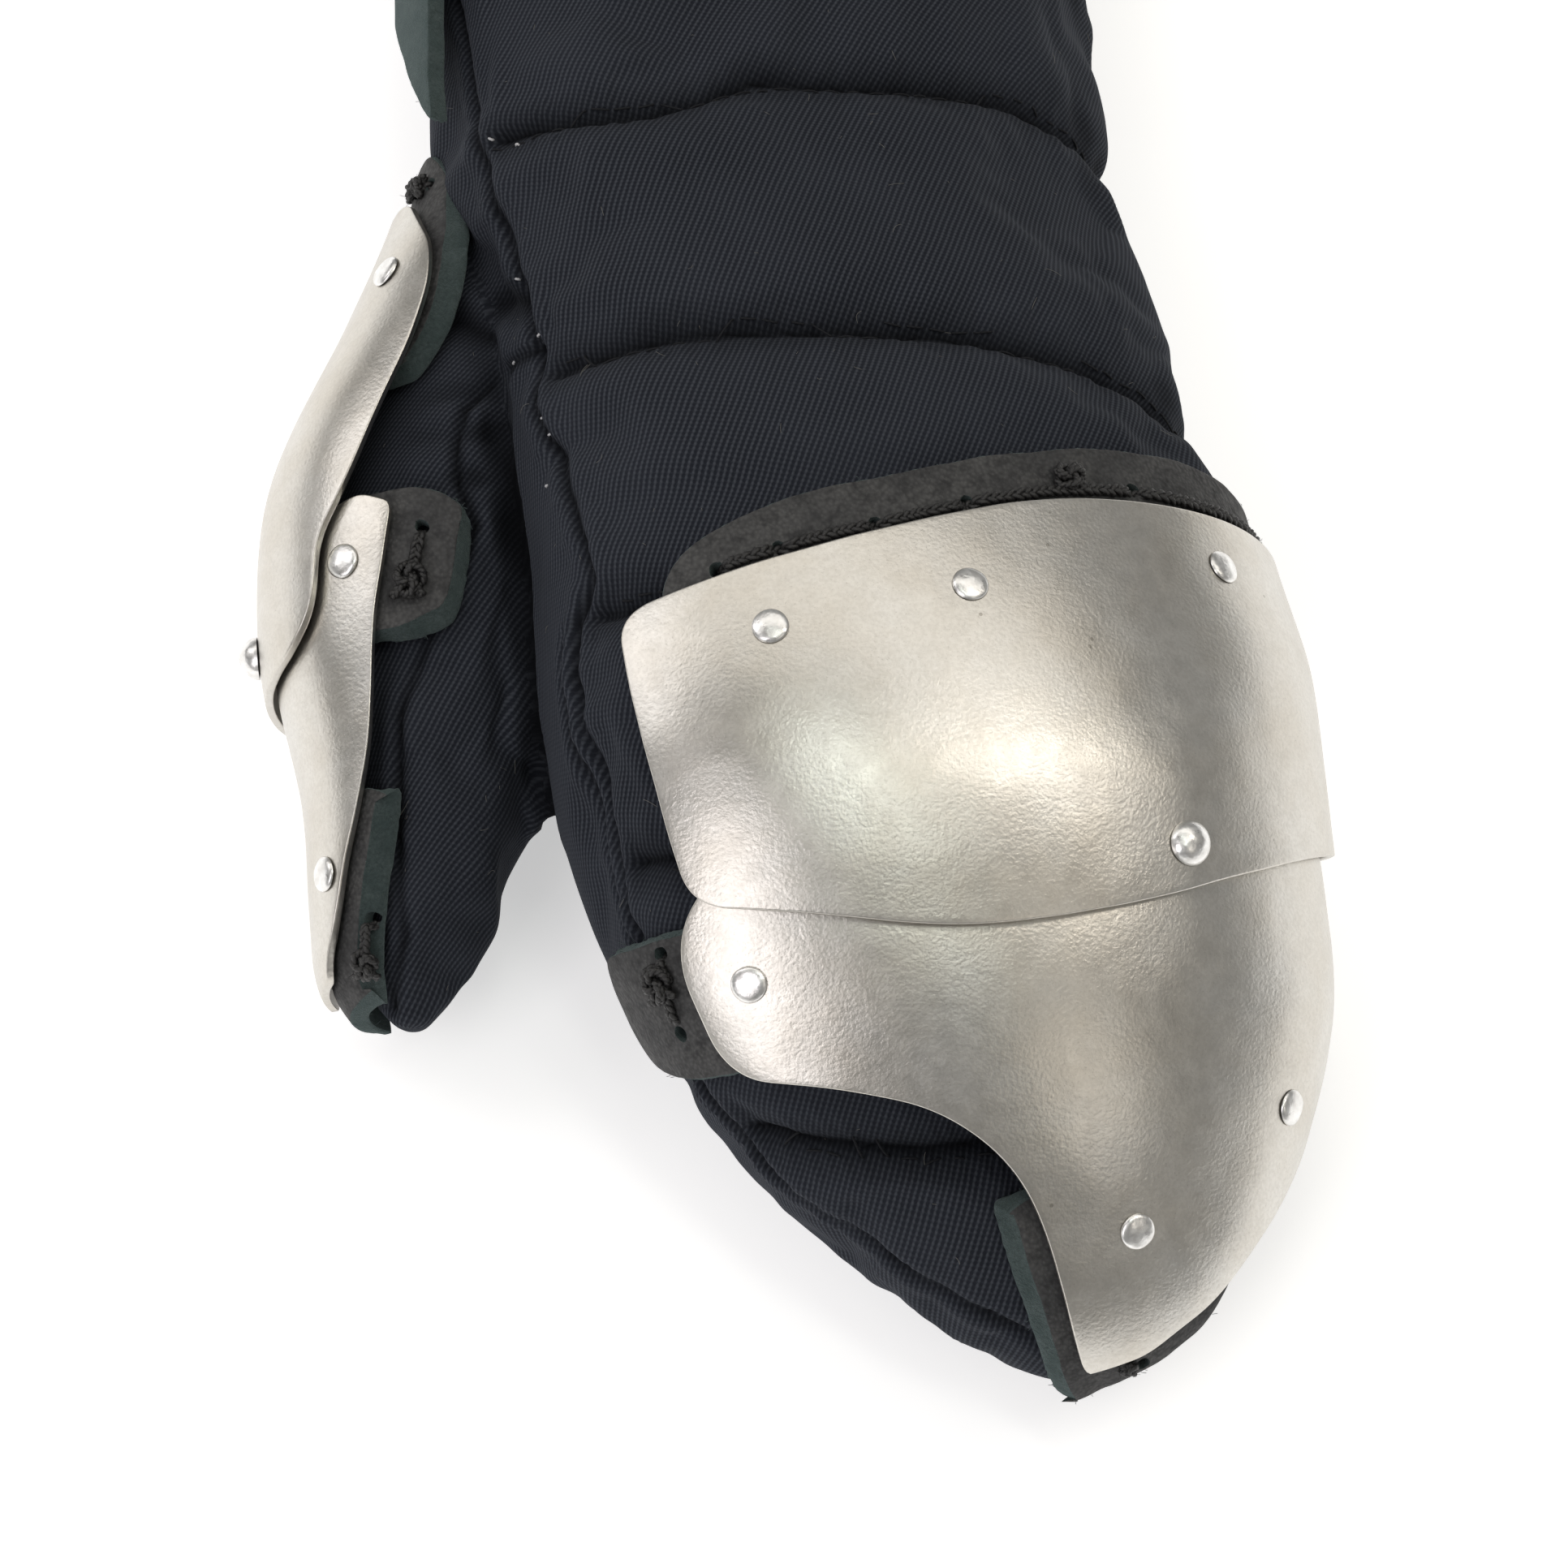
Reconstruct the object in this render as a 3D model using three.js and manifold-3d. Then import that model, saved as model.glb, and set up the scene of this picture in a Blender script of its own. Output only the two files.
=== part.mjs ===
// Left-hand mitten gauntlet: a padded mitten with four steel plates riveted to leather that is laced to it.
// It lies palm down as it is put away. Millimetres: +X to the little-finger side, +Y to the cuff, +Z up.
import * as THREE from 'three';
import { mergeVertices } from 'three/addons/utils/BufferGeometryUtils.js';
import Module from 'manifold-3d';

const manifold = await Module();
manifold.setup();

// ---- Driving dimensions ----
const gap = 0.3; // between pieces that touch
const layerGap = 1; // between sheets that lie over each other
const steelThickness = 1.5;
const leatherThickness = 3.5;
const leatherLift = 2.2; // from the mitten to the back of the leather, where the rivets are clenched
const plateLift = leatherLift + leatherThickness + layerGap;
const overlapLift = plateLift + steelThickness + layerGap; // a plate that lies over its neighbour
const padding = 10; // wall of the mitten, quilted
const thumbPadding = 7;
const palmPadding = 4; // wall of the mitten where it lies on the floor
const pressDepth = 12; // of the dent that a leather presses into the padding, from its back outwards
const quiltLines = [16, 64, 112, 165, 210, 248, 288]; // along the hand, from the hem
const quiltDepth = 3;
const quiltReach = 8; // half the width of the dip at a quilt line
const quiltEnd = { start: 95, stop: 115, indexSide: 25 }; // degrees round, where the dip fades out towards the palm
const laceDiameter = 2.3;
const knotSize = { loop: 1.65, strand: 0.8, rise: 1.3 }; // of the looped knot, and its middle over the lace's
const smallRivet = { head: 6.2, crown: 1.5, shank: 3 };
const pivotRivet = { head: 7.8, crown: 2.6, shank: 4 };
const clench = { diameter: 4.4, thickness: 0.8 };

// ---- How finely the solids are faceted ----
const rivetSides = 7;
const laceSides = 5;
const laceStep = 5.5; // along a lace, between its bends
const handRing = { outside: 24, hollow: 18 }; // points round a section
const thumbRing = { outside: 16, hollow: 12 };

// ---- The two rounded forms that everything lies on ----
// Each row is a section across the form: its place along it, its middle, its half width, its height over
// the middle (back) and under it (palm), and its roll, yaw and pitch in degrees.
const columns = ['along', 'x', 'y', 'z', 'half', 'back', 'palm', 'roll', 'yaw', 'pitch'];
const handSections = [
  [0, -5, 226, 45, 59, 36, 48, 12, 0, 0],
  [40, -5, 187, 44, 59.5, 36, 47, 12, 0, 0],
  [80, -4, 148, 44, 60, 36, 47, 13, 0, 0],
  [115, -1, 114, 46, 60, 36, 50, 14, 1, 0],
  [155, 9, 76, 50, 59, 35, 57, 15, 4, 0],
  [192, 18, 40, 53, 59.5, 34, 63, 16, 7, 2],
  [228, 24, 5, 52, 61, 33, 63, 16, 8, 8],
  [260, 31, -26, 45, 58.5, 31, 56, 15, 7.5, 18],
  [288, 38, -53, 36, 48.5, 27, 46, 13, 8, 28],
  [310, 45, -73, 27, 35, 22, 36, 11, 10, 38],
  [322, 50, -83.5, 21, 24, 17, 26, 10, 10, 44],
  [331, 53.5, -90, 16, 14, 11, 17, 10, 10, 50],
  [336, 55.5, -93, 13, 6, 5, 8, 10, 10, 54],
];
const thumbSections = [
  [-25, -32, 140, 44, 31, 20, 20, 0, 0, 0],
  [0, -36, 116, 44, 25, 19, 19, 0, 0, 0],
  [28, -45, 88, 42, 25, 22, 22, 0, 0, 0],
  [58, -57, 58, 37, 24, 22, 22, 0, 0, 0],
  [88, -60, 28, 33, 21.5, 21, 21, 0, 0, 0],
  [114, -59, 2, 30, 17, 18, 18, 0, 0, 0],
  [136, -62, -20, 27, 12, 14, 14, 0, 0, 0],
  [147, -64, -30, 25, 8.5, 9, 9, 0, 0, 0],
  [154, -65, -37, 23, 3, 3, 3, 0, 0, 0],
];

const radians = THREE.MathUtils.degToRad;
const smooth = (low, high, value) => THREE.MathUtils.smoothstep(value, low, high);

/** The section at a place along a form, on smooth curves through the rows. */
function sectionAt(rows, along) {
  const last = rows.length - 1;
  let row = rows.findIndex((r, i) => i < last && along < rows[i + 1][0]);
  if (row < 0) row = last - 1;
  const span = rows[row + 1][0] - rows[row][0];
  const t = (along - rows[row][0]) / span;
  const slope = (i, column) => {
    const before = rows[Math.max(i - 1, 0)];
    const after = rows[Math.min(i + 1, last)];
    return (span * (after[column] - before[column])) / (after[0] - before[0]);
  };
  const section = {};
  columns.forEach((name, column) => {
    section[name] =
      (2 * t ** 3 - 3 * t ** 2 + 1) * rows[row][column] +
      (t ** 3 - 2 * t ** 2 + t) * slope(row, column) +
      (3 * t ** 2 - 2 * t ** 3) * rows[row + 1][column] +
      (t ** 3 - t ** 2) * slope(row + 1, column);
  });
  return section;
}

/**
 * A form: point(round, along, lift) is a point over its skin, round being degrees from the top of its back.
 * Sheets formed over it bend along lines a step apart, [round, along].
 */
function makeForm(rows, squareness, step) {
  return {
    step,
    point(round, along, lift) {
      const s = sectionAt(rows, along);
      const [roll, yaw, pitch] = [radians(s.roll), radians(s.yaw), radians(s.pitch)];
      const ahead = new THREE.Vector3(Math.sin(yaw), -Math.cos(yaw), 0);
      const side = new THREE.Vector3(Math.cos(yaw), Math.sin(yaw), 0);
      const up = new THREE.Vector3(0, 0, Math.cos(pitch)).addScaledVector(ahead, Math.sin(pitch));
      const across = side.clone().multiplyScalar(Math.cos(roll)).addScaledVector(up, -Math.sin(roll));
      const over = up.clone().multiplyScalar(Math.cos(roll)).addScaledVector(side, Math.sin(roll));

      const sine = Math.sin(radians(round));
      const cosine = Math.cos(radians(round));
      const height = cosine > 0 ? s.back : s.palm;
      const bulk = Math.abs(sine / s.half) ** squareness + Math.abs(cosine / height) ** squareness;
      const reach = bulk ** (-1 / squareness);
      let [u, v] = [reach * sine, reach * cosine];
      const outward = new THREE.Vector2(
        Math.sign(u) * Math.abs(u / s.half) ** (squareness - 1) / s.half,
        Math.sign(v) * Math.abs(v / height) ** (squareness - 1) / height,
      ).normalize();
      u += lift * outward.x;
      v += lift * outward.y;
      return new THREE.Vector3(s.x, s.y, s.z).addScaledVector(across, u).addScaledVector(over, v);
    },
  };
}
const hand = makeForm(handSections, 2.3, [12, 12]);
const thumb = makeForm(thumbSections, 2.1, [20, 16]);

/** A rounded swelling: 1 in the middle, falling to 0 at the edge of an ellipse. */
function swell(round, along, middle, radii) {
  const away = Math.hypot((round - middle[0]) / radii[0], (along - middle[1]) / radii[1]);
  return away < 1 ? (1 - away ** 2) ** 2 : 0;
}

// How far each plate stands off the mitten.
const knuckleLift = (round, along) =>
  plateLift + (overlapLift - plateLift) * smooth(225, 244, along) + 3.5 * swell(round, along, [5, 240], [75, 40]);
const fingerLift = (round, along) => plateLift + 2.5 * swell(round, along, [5, 275], [70, 40]);
const thumbUpperLift = (round, along) => plateLift + (overlapLift - plateLift) * smooth(46, 64, along);
const thumbTipLift = () => plateLift;
const leatherFlat = () => leatherLift;

// ---- Making solids ----
/** A closed mesh's shared vertices merged, with nothing kept but their places. */
function welded(geometry) {
  const bare = geometry.clone();
  Object.keys(bare.attributes).forEach((name) => name !== 'position' && bare.deleteAttribute(name));
  return mergeVertices(bare, 1e-4);
}

function toManifold(geometry) {
  const merged = welded(geometry);
  return new manifold.Manifold(
    new manifold.Mesh({
      numProp: 3,
      vertProperties: new Float32Array(merged.attributes.position.array),
      triVerts: new Uint32Array(merged.index.array),
    }),
  );
}

function fromManifold(solid) {
  const mesh = solid.getMesh();
  const geometry = new THREE.BufferGeometry();
  geometry.setAttribute('position', new THREE.BufferAttribute(new Float32Array(mesh.vertProperties), 3));
  geometry.setIndex(Array.from(mesh.triVerts));
  return geometry;
}

/** A body through a row of closed rings of equal count, closed by a fan at each end. */
function loft(rings) {
  const count = rings[0].length;
  const points = rings.flat();
  const faces = [];
  for (let ring = 0; ring < rings.length - 1; ring++) {
    for (let i = 0; i < count; i++) {
      const a = ring * count + i;
      const b = ring * count + ((i + 1) % count);
      faces.push(a, a + count, b, b, a + count, b + count);
    }
  }
  for (const [ring, first, second] of [[0, 1, 0], [rings.length - 1, 0, 1]]) {
    const middle = points.length;
    const centre = rings[ring].reduce((sum, p) => sum.add(p), new THREE.Vector3()).divideScalar(count);
    points.push(centre);
    for (let i = 0; i < count; i++) {
      const edge = [ring * count + i, ring * count + ((i + 1) % count)];
      faces.push(middle, edge[1 - first], edge[1 - second]);
    }
  }
  const geometry = new THREE.BufferGeometry().setFromPoints(points);
  geometry.setIndex(faces);
  return geometry;
}

/** An outline through corners [round, along, radius], each turned in a curve that starts its radius away. */
function outline(corners) {
  const shape = new THREE.Shape();
  const points = corners.map(([x, y]) => new THREE.Vector2(x, y));
  corners.forEach(([, , radius], i) => {
    const corner = points[i];
    const toward = (other) => {
      const way = other.clone().sub(corner);
      return corner.clone().addScaledVector(way, Math.min(radius / way.length(), 0.5));
    };
    const start = toward(points[(i + points.length - 1) % points.length]);
    const end = toward(points[(i + 1) % points.length]);
    if (i === 0) shape.moveTo(start.x, start.y);
    else shape.lineTo(start.x, start.y);
    shape.quadraticCurveTo(corner.x, corner.y, end.x, end.y);
  });
  shape.closePath();
  return shape;
}

/** What lies on one side of the line x = value (axis x) or y = value of a polygon. */
function trimmed(polygon, axis, value, side) {
  const kept = [];
  polygon.forEach((point, i) => {
    const before = polygon[(i + polygon.length - 1) % polygon.length];
    const [here, there] = [point, before].map((end) => side * (end[axis] - value));
    if (here * there < 0) {
      const crossing = before.clone().lerp(point, there / (there - here));
      crossing[axis] = value;
      kept.push(crossing);
    }
    if (here >= 0) kept.push(point);
  });
  return kept;
}

/** An outline cut into cells by lines at every step of x and y, so that the sheet can bend along them. */
function cells(polygon, step) {
  let pieces = [polygon];
  ['x', 'y'].forEach((axis, i) => {
    const values = polygon.map((point) => point[axis]);
    const first = Math.floor(Math.min(...values) / step[i]);
    const count = Math.ceil(Math.max(...values) / step[i]) - first;
    pieces = pieces.flatMap((piece) =>
      Array.from({ length: count }, (_, k) =>
        trimmed(trimmed(piece, axis, (first + k) * step[i], 1), axis, (first + k + 1) * step[i], -1),
      ),
    );
  });
  return pieces.filter((piece) => piece.length > 2 && Math.abs(THREE.ShapeUtils.area(piece)) > 1e-3);
}

/** A sheet cut flat to an outline and then formed over the hand or thumb, standing off it by lift. */
function formed(form, corners, thickness, lift) {
  const flat = [];
  const numbers = new Map();
  const number = (point) => {
    const key = `${Math.round(point.x * 1e3)},${Math.round(point.y * 1e3)}`;
    if (!numbers.has(key)) numbers.set(key, flat.push(point) - 1);
    return numbers.get(key);
  };
  const top = [];
  for (const cell of cells(outline(corners).getPoints(2), form.step)) {
    for (const triangle of THREE.ShapeUtils.triangulateShape(cell, [])) {
      const face = triangle.map((corner) => number(cell[corner]));
      if (new Set(face).size === 3) top.push(face);
    }
  }
  const edges = new Map();
  for (const face of top) {
    face.forEach((from, i) => {
      const to = face[(i + 1) % 3];
      if (!edges.delete(`${to},${from}`)) edges.set(`${from},${to}`, [from, to]);
    });
  }
  const count = flat.length;
  const faces = top.flatMap(([a, b, c]) => [a, b, c, c + count, b + count, a + count]);
  for (const [from, to] of edges.values()) faces.push(to, from, to + count, to + count, from, from + count);
  const points = [0, thickness].flatMap((up) =>
    flat.map(({ x, y }) => form.point(x, y, lift(x, y) + up)),
  );
  const sheet = new THREE.BufferGeometry().setFromPoints(points);
  sheet.setIndex(faces);
  return sheet;
}

/** Where a rivet or hole goes through: a point over the skin, and a turn that takes +Z to the outward normal. */
function seat(form, round, along, lift) {
  const step = 0.5;
  const at = (r, a) => form.point(r, a, lift(r, a));
  const middle = at(round, along);
  const across = at(round + step, along).sub(at(round - step, along));
  const ahead = at(round, along + step).sub(at(round, along - step));
  const normal = ahead.cross(across).normalize();
  if (normal.dot(form.point(round, along, 10).sub(form.point(round, along, 0))) < 0) normal.negate();
  return { middle, normal, turn: new THREE.Quaternion().setFromUnitVectors(new THREE.Vector3(0, 0, 1), normal) };
}

/** A rivet set through a plate at a seat on the plate's back: a domed head, a shank and a clenched tail. */
function rivet(size, depth) {
  const face = steelThickness + gap;
  const profile = [
    [0, -depth - clench.thickness],
    [clench.diameter / 2, -depth - clench.thickness],
    [clench.diameter / 2, -depth],
    [size.shank / 2, -depth],
    [size.shank / 2, face],
    [size.head / 2, face],
    [size.head * 0.35, face + size.crown * 0.75],
    [0, face + size.crown],
  ].map(([radius, height]) => new THREE.Vector2(radius, height));
  return new THREE.LatheGeometry(profile, rivetSides).rotateX(Math.PI / 2);
}

/** A straight punch, centred on a seat, long enough to go through a plate and all that lies under it. */
function punched(diameter, { turn, middle }) {
  const length = 2 * (overlapLift + steelThickness);
  const punch = new THREE.CylinderGeometry(diameter / 2, diameter / 2, length, rivetSides).rotateX(Math.PI / 2);
  return toManifold(punch.applyQuaternion(turn).translate(...middle));
}

/** A round cord along a smooth curve through points, with a step from each to the next. */
function cord(points) {
  const section = new THREE.Shape();
  for (let i = 0; i < laceSides; i++) {
    const angle = (2 * Math.PI * i) / laceSides;
    const [x, y] = [(Math.cos(angle) * laceDiameter) / 2, (Math.sin(angle) * laceDiameter) / 2];
    if (i === 0) section.moveTo(x, y);
    else section.lineTo(x, y);
  }
  const extrudePath = new THREE.CatmullRomCurve3(points);
  const steps = points.length - 1;
  return new THREE.ExtrudeGeometry(section, { steps, extrudePath, bevelEnabled: false, curveSegments: 1 });
}

// ---- Materials ----
const material = (color, roughness, metalness) => new THREE.MeshStandardMaterial({ color, roughness, metalness });
const steel = material(0xcbc6bc, 0.35, 1);
const leather = material(0x3a3a3b, 0.75, 0);
const cloth = material(0x2b2f32, 0.95, 0);
const lacing = material(0x17181a, 0.85, 0);

// ---- The mitten ----
/** The quilting: how far the skin dips at a place, deepest on a quilt line and none on the palm. */
function quilt(round, along) {
  const near = Math.min(...quiltLines.map((line) => Math.abs(along - line)));
  const dip = Math.max(0, 1 - near / quiltReach) ** 1.5;
  const onBack = 1 - smooth(quiltEnd.start, quiltEnd.stop, round > 0 ? round : quiltEnd.indexSide - round);
  return -quiltDepth * dip * onBack;
}

function ringOf(form, along, count, lift, floor) {
  return Array.from({ length: count }, (_, i) => {
    const round = (360 * i) / count - 180;
    const point = form.point(round, along, lift(round, along));
    point.z = Math.max(point.z, floor);
    return point;
  });
}

/** Places for the hand's rings: the hem, on, beside and half way between quilt lines, and closer at the tip. */
function handRings() {
  const between = quiltLines.slice(1).map((line, i) => (line + quiltLines[i]) / 2);
  const dips = quiltLines.flatMap((line) => [line - quiltReach, line, line + quiltReach]);
  return [0, ...dips, ...between, 306, 318, 326, 332, 336].sort((a, b) => a - b);
}
const thumbRings = [-12, 10, 30, 50, 70, 90, 108, 124, 136, 144, 150, 154];
const handHollowRings = [-6, 50, 90, 125, 160, 195, 225, 255, 280, 298, 308];
const thumbHollowRings = [-20, 10, 40, 65, 90, 112, 124];

/** An outline's corners moved away from their middle. */
function grown(corners, scale) {
  const middle = [0, 1].map((axis) => corners.reduce((sum, corner) => sum + corner[axis], 0) / corners.length);
  const moved = (corner, axis) => middle[axis] + (corner[axis] - middle[axis]) * scale;
  return corners.map((corner) => [moved(corner, 0), moved(corner, 1), corner[2]]);
}

function mitten() {
  const body = (form, places, count, lift, floor) =>
    toManifold(loft(places.map((along) => ringOf(form, along, count, lift, floor))));
  const outside = body(hand, handRings(), handRing.outside, quilt, 0).add(
    body(thumb, thumbRings, thumbRing.outside, () => 0, 0),
  );
  const hollow = body(hand, handHollowRings, handRing.hollow, () => -padding, palmPadding).add(
    body(thumb, thumbHollowRings, thumbRing.hollow, () => -thumbPadding, palmPadding),
  );
  // The thumb's yoke and its clenched rivets press a dent into the hand's side.
  const { form, corners, lift } = sheets.thumb_yoke;
  const under = clench.thickness + 4 * gap;
  const dent = toManifold(formed(form, grown(corners, 1.1), pressDepth, (...place) => lift(...place) - under));
  return fromManifold(outside.subtract(hollow).subtract(dent));
}

// ---- Plates and leathers ----
const mirrored = (corners, centre) => corners.map(([round, ...rest]) => [2 * centre - round, ...rest]).reverse();
const both = (corners, centre) => [...corners, ...mirrored(corners, centre)];
const tabCorners = [[-42, 68, 3], [-8, 67, 8], [12, 71, 5], [13, 84, 8], [8, 91, 5], [-8, 93.5, 6], [-42, 93, 3]];

const sheets = {
  knuckle_plate: {
    form: hand, thickness: steelThickness, lift: knuckleLift, material: steel,
    corners: [
      [-71, 214, 5], [-45, 209, 20], [-10, 204.5, 18], [25, 201, 18], [60, 200, 15], [92, 202, 12], [116, 208, 6],
      [116, 252, 6], [75, 256.5, 15], [38, 262.3, 18], [0, 264, 18], [-35, 263.5, 16], [-69, 257, 5],
    ],
  },
  finger_plate: {
    form: hand, thickness: steelThickness, lift: fingerLift, material: steel,
    corners: [
      [-62, 249, 5], [0, 250, 10], [60, 247, 10], [112, 244, 5], [112, 268, 9], [98, 290, 12], [86, 306, 12],
      [72, 314, 10], [48, 321, 12], [10, 327.5, 9], [-27, 329, 3], [-20, 312, 14], [-22, 297, 12], [-38, 287, 14],
      [-56, 282.5, 12], [-73, 279.5, 6], [-74, 261, 7],
    ],
  },
  thumb_upper_plate: {
    form: thumb, thickness: steelThickness, lift: thumbUpperLift, material: steel,
    corners: both(
      [[-66, 8, 6], [-38, 24, 10], [-22, 46, 14], [-30, 68, 12], [-46, 80, 8], [-46, 92, 6], [-66, 97, 8]],
      -90,
    ),
  },
  thumb_tip_plate: {
    form: thumb, thickness: steelThickness, lift: thumbTipLift, material: steel,
    corners: both([[-50, 78, 8], [-21, 69, 5], [-25, 90, 10], [-31, 115, 14], [-43, 140, 8], [-62, 148.5, 4]], -90),
  },
  knuckle_yoke: {
    form: hand, thickness: leatherThickness, lift: leatherFlat, material: leather,
    corners: [
      [-66, 224, 5], [-65.5, 207, 8], [-48, 199, 12], [0, 193.4, 20], [40, 188.8, 16], [66, 188, 10], [92, 194, 10],
      [108, 203, 6], [106, 222, 5], [60, 222, 10], [0, 226, 10],
    ],
  },
  index_tab: {
    form: hand, thickness: leatherThickness, lift: leatherFlat, material: leather,
    corners: [[-56, 258, 4], [-84, 258, 4], [-96, 266, 8], [-97, 278, 4], [-84, 280.5, 8], [-56, 279, 4]],
  },
  little_finger_tab: {
    form: hand, thickness: leatherThickness, lift: leatherFlat, material: leather,
    corners: [[54, 286, 4], [54, 302, 4], [84, 307, 8], [118, 302, 4], [118, 285, 4], [84, 284, 8]],
  },
  fingertip_leather: {
    form: hand, thickness: leatherThickness, lift: leatherFlat, material: leather,
    corners: [
      [-31, 299.5, 2], [-10, 298, 5], [30, 300, 5], [48, 305, 5], [50, 320, 6], [34, 328, 10], [0, 331.5, 6],
      [-42, 334, 3], [-32, 318, 12],
    ],
  },
  thumb_yoke: {
    form: thumb, thickness: leatherThickness, lift: leatherFlat, material: leather,
    corners: [
      [-76, -4, 3], [-50, 4, 5], [-29, 25, 8], [-17, 44, 4], [-35, 48, 4], [-60, 40, 5], [-90, 34, 5],
      [-120, 26, 5], [-118, 2, 5],
    ],
  },
  thumb_tab_front: {
    form: thumb, thickness: leatherThickness, lift: leatherFlat, material: leather,
    corners: tabCorners,
  },
  thumb_tab_back: {
    form: thumb, thickness: leatherThickness, lift: leatherFlat, material: leather,
    corners: mirrored(tabCorners, -90),
  },
  thumb_tip_leather: {
    form: thumb, thickness: leatherThickness, lift: leatherFlat, material: leather,
    corners: both([[-48, 118, 4], [-18, 118.5, 2], [-20, 140, 6], [-26, 152, 3]], -90),
  },
  cuff_tab: {
    form: hand, thickness: leatherThickness, lift: leatherFlat, material: leather,
    corners: [[-80, 96, 5], [-78, 60, 10], [-82, 22, 5], [-112, 22, 5], [-108, 60, 10], [-104, 92, 5], [-92, 104, 5]],
  },
};

// ---- Rivets, each through a plate and what lies under it ----
// name, form, plate, what lies under it, [round, along], size
const rivetSeats = [
  ['yoke_rivet_1', hand, 'knuckle_plate', 'knuckle_yoke', [-50.5, 221], smallRivet],
  ['yoke_rivet_2', hand, 'knuckle_plate', 'knuckle_yoke', [-7, 217.3], smallRivet],
  ['yoke_rivet_3', hand, 'knuckle_plate', 'knuckle_yoke', [58, 211], smallRivet],
  ['yoke_rivet_4', hand, 'knuckle_plate', 'knuckle_yoke', [88, 212.5], smallRivet],
  ['finger_pivot', hand, 'knuckle_plate', 'finger_plate', [39.3, 255.5], pivotRivet],
  ['index_tab_rivet', hand, 'finger_plate', 'index_tab', [-65.3, 267.5], smallRivet],
  ['little_finger_tab_rivet', hand, 'finger_plate', 'little_finger_tab', [64, 295], smallRivet],
  ['fingertip_rivet', hand, 'finger_plate', 'fingertip_leather', [13.5, 306.5], smallRivet],
  ['thumb_yoke_rivet_1', thumb, 'thumb_upper_plate', 'thumb_yoke', [-56, 24.5], smallRivet],
  ['thumb_yoke_rivet_2', thumb, 'thumb_upper_plate', 'thumb_yoke', [-112, 20], smallRivet],
  ['thumb_pivot', thumb, 'thumb_upper_plate', 'thumb_tip_plate', [-90, 86], pivotRivet],
  ['thumb_tab_rivet_front', thumb, 'thumb_tip_plate', 'thumb_tab_front', [-34, 80], smallRivet],
  ['thumb_tab_rivet_back', thumb, 'thumb_tip_plate', 'thumb_tab_back', [-146, 80], smallRivet],
  ['thumb_tip_rivet_front', thumb, 'thumb_tip_plate', 'thumb_tip_leather', [-50, 131], smallRivet],
  ['thumb_tip_rivet_back', thumb, 'thumb_tip_plate', 'thumb_tip_leather', [-130, 131], smallRivet],
];

// ---- Laces, each a cord that lies on the leather it holds, from its first hole to its last, with a knot ----
const laces = [
  {
    name: 'yoke_lace', form: hand, knot: [31, 195.7],
    way: [[-58, 207.5], [-46.5, 204.5], [-26, 201.5], [0, 197.8], [25, 195.5], [45, 192.8], [66, 193], [86, 198.5]],
  },
  { name: 'index_tie', form: hand, knot: [-86, 265.5], way: [[-86, 261], [-86, 274]] },
  { name: 'little_finger_tie', form: hand, knot: [109, 293], way: [[109, 287], [107, 299]] },
  { name: 'fingertip_tie', form: hand, knot: [-27.5, 309], way: [[-27.5, 304], [-28, 315]] },
  { name: 'thumb_yoke_tie', form: thumb, knot: [-56, 8], way: [[-66, 3], [-42, 15]] },
  { name: 'thumb_tab_tie_front', form: thumb, knot: [-8, 83], way: [[-4, 73], [-8, 90]] },
  { name: 'thumb_tab_tie_back', form: thumb, knot: [-172, 83], way: [[-176, 73], [-172, 90]] },
  { name: 'thumb_tip_tie', form: thumb, knot: [-26, 145], way: [[-26, 137], [-27, 149]] },
];
const laceLift = leatherLift + leatherThickness + 1.5 * gap + laceDiameter / 2;

// ---- Putting it together ----
const gauntlet = new THREE.Group();
const solids = new Map();
for (const [name, sheet] of Object.entries(sheets)) {
  solids.set(name, toManifold(formed(sheet.form, sheet.corners, sheet.thickness, sheet.lift)));
}
const cutFrom = (name, tool) => solids.set(name, solids.get(name).subtract(tool));

function add(name, geometry, finish) {
  const mesh = new THREE.Mesh(geometry, finish);
  mesh.name = name;
  gauntlet.add(mesh);
  return mesh;
}

add('padded_mitten', mitten(), cloth);

for (const [name, form, plate, under, at, size] of rivetSeats) {
  const lift = sheets[plate].lift;
  const place = seat(form, ...at, lift);
  const depth = lift(...at) - sheets[under].lift(...at) + 3 * gap;
  const hole = punched(size.shank + 4 * gap, place);
  cutFrom(plate, hole);
  cutFrom(under, hole);
  const mesh = add(name, welded(rivet(size, depth)), steel);
  mesh.quaternion.copy(place.turn);
  mesh.position.copy(place.middle);
}

for (const { name, form, knot, way } of laces) {
  const flat = new THREE.CurvePath();
  way.slice(1).forEach((place, i) => {
    flat.add(new THREE.LineCurve(new THREE.Vector2(...way[i]), new THREE.Vector2(...place)));
  });
  const steps = Math.round(flat.getLength() / laceStep);
  const points = flat.getSpacedPoints(steps).map(({ x, y }) => form.point(x, y, laceLift));
  const knotSeat = seat(form, ...knot, () => laceLift + knotSize.rise);
  const loops = new THREE.TorusKnotGeometry(knotSize.loop, knotSize.strand, 12, 4);
  const tied = toManifold(loops.applyQuaternion(knotSeat.turn).translate(...knotSeat.middle));
  add(name, fromManifold(toManifold(cord(points)).add(tied)), lacing);
}

for (const [name, solid] of solids) add(name, fromManifold(solid), sheets[name].material);

// The origin is under the middle of the whole gauntlet, on the floor.
const bounds = new THREE.Box3().setFromObject(gauntlet, true);
const middle = bounds.getCenter(new THREE.Vector3());
gauntlet.position.set(-middle.x, -middle.y, -bounds.min.z);
gauntlet.updateMatrixWorld(true);

export default gauntlet;
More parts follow.
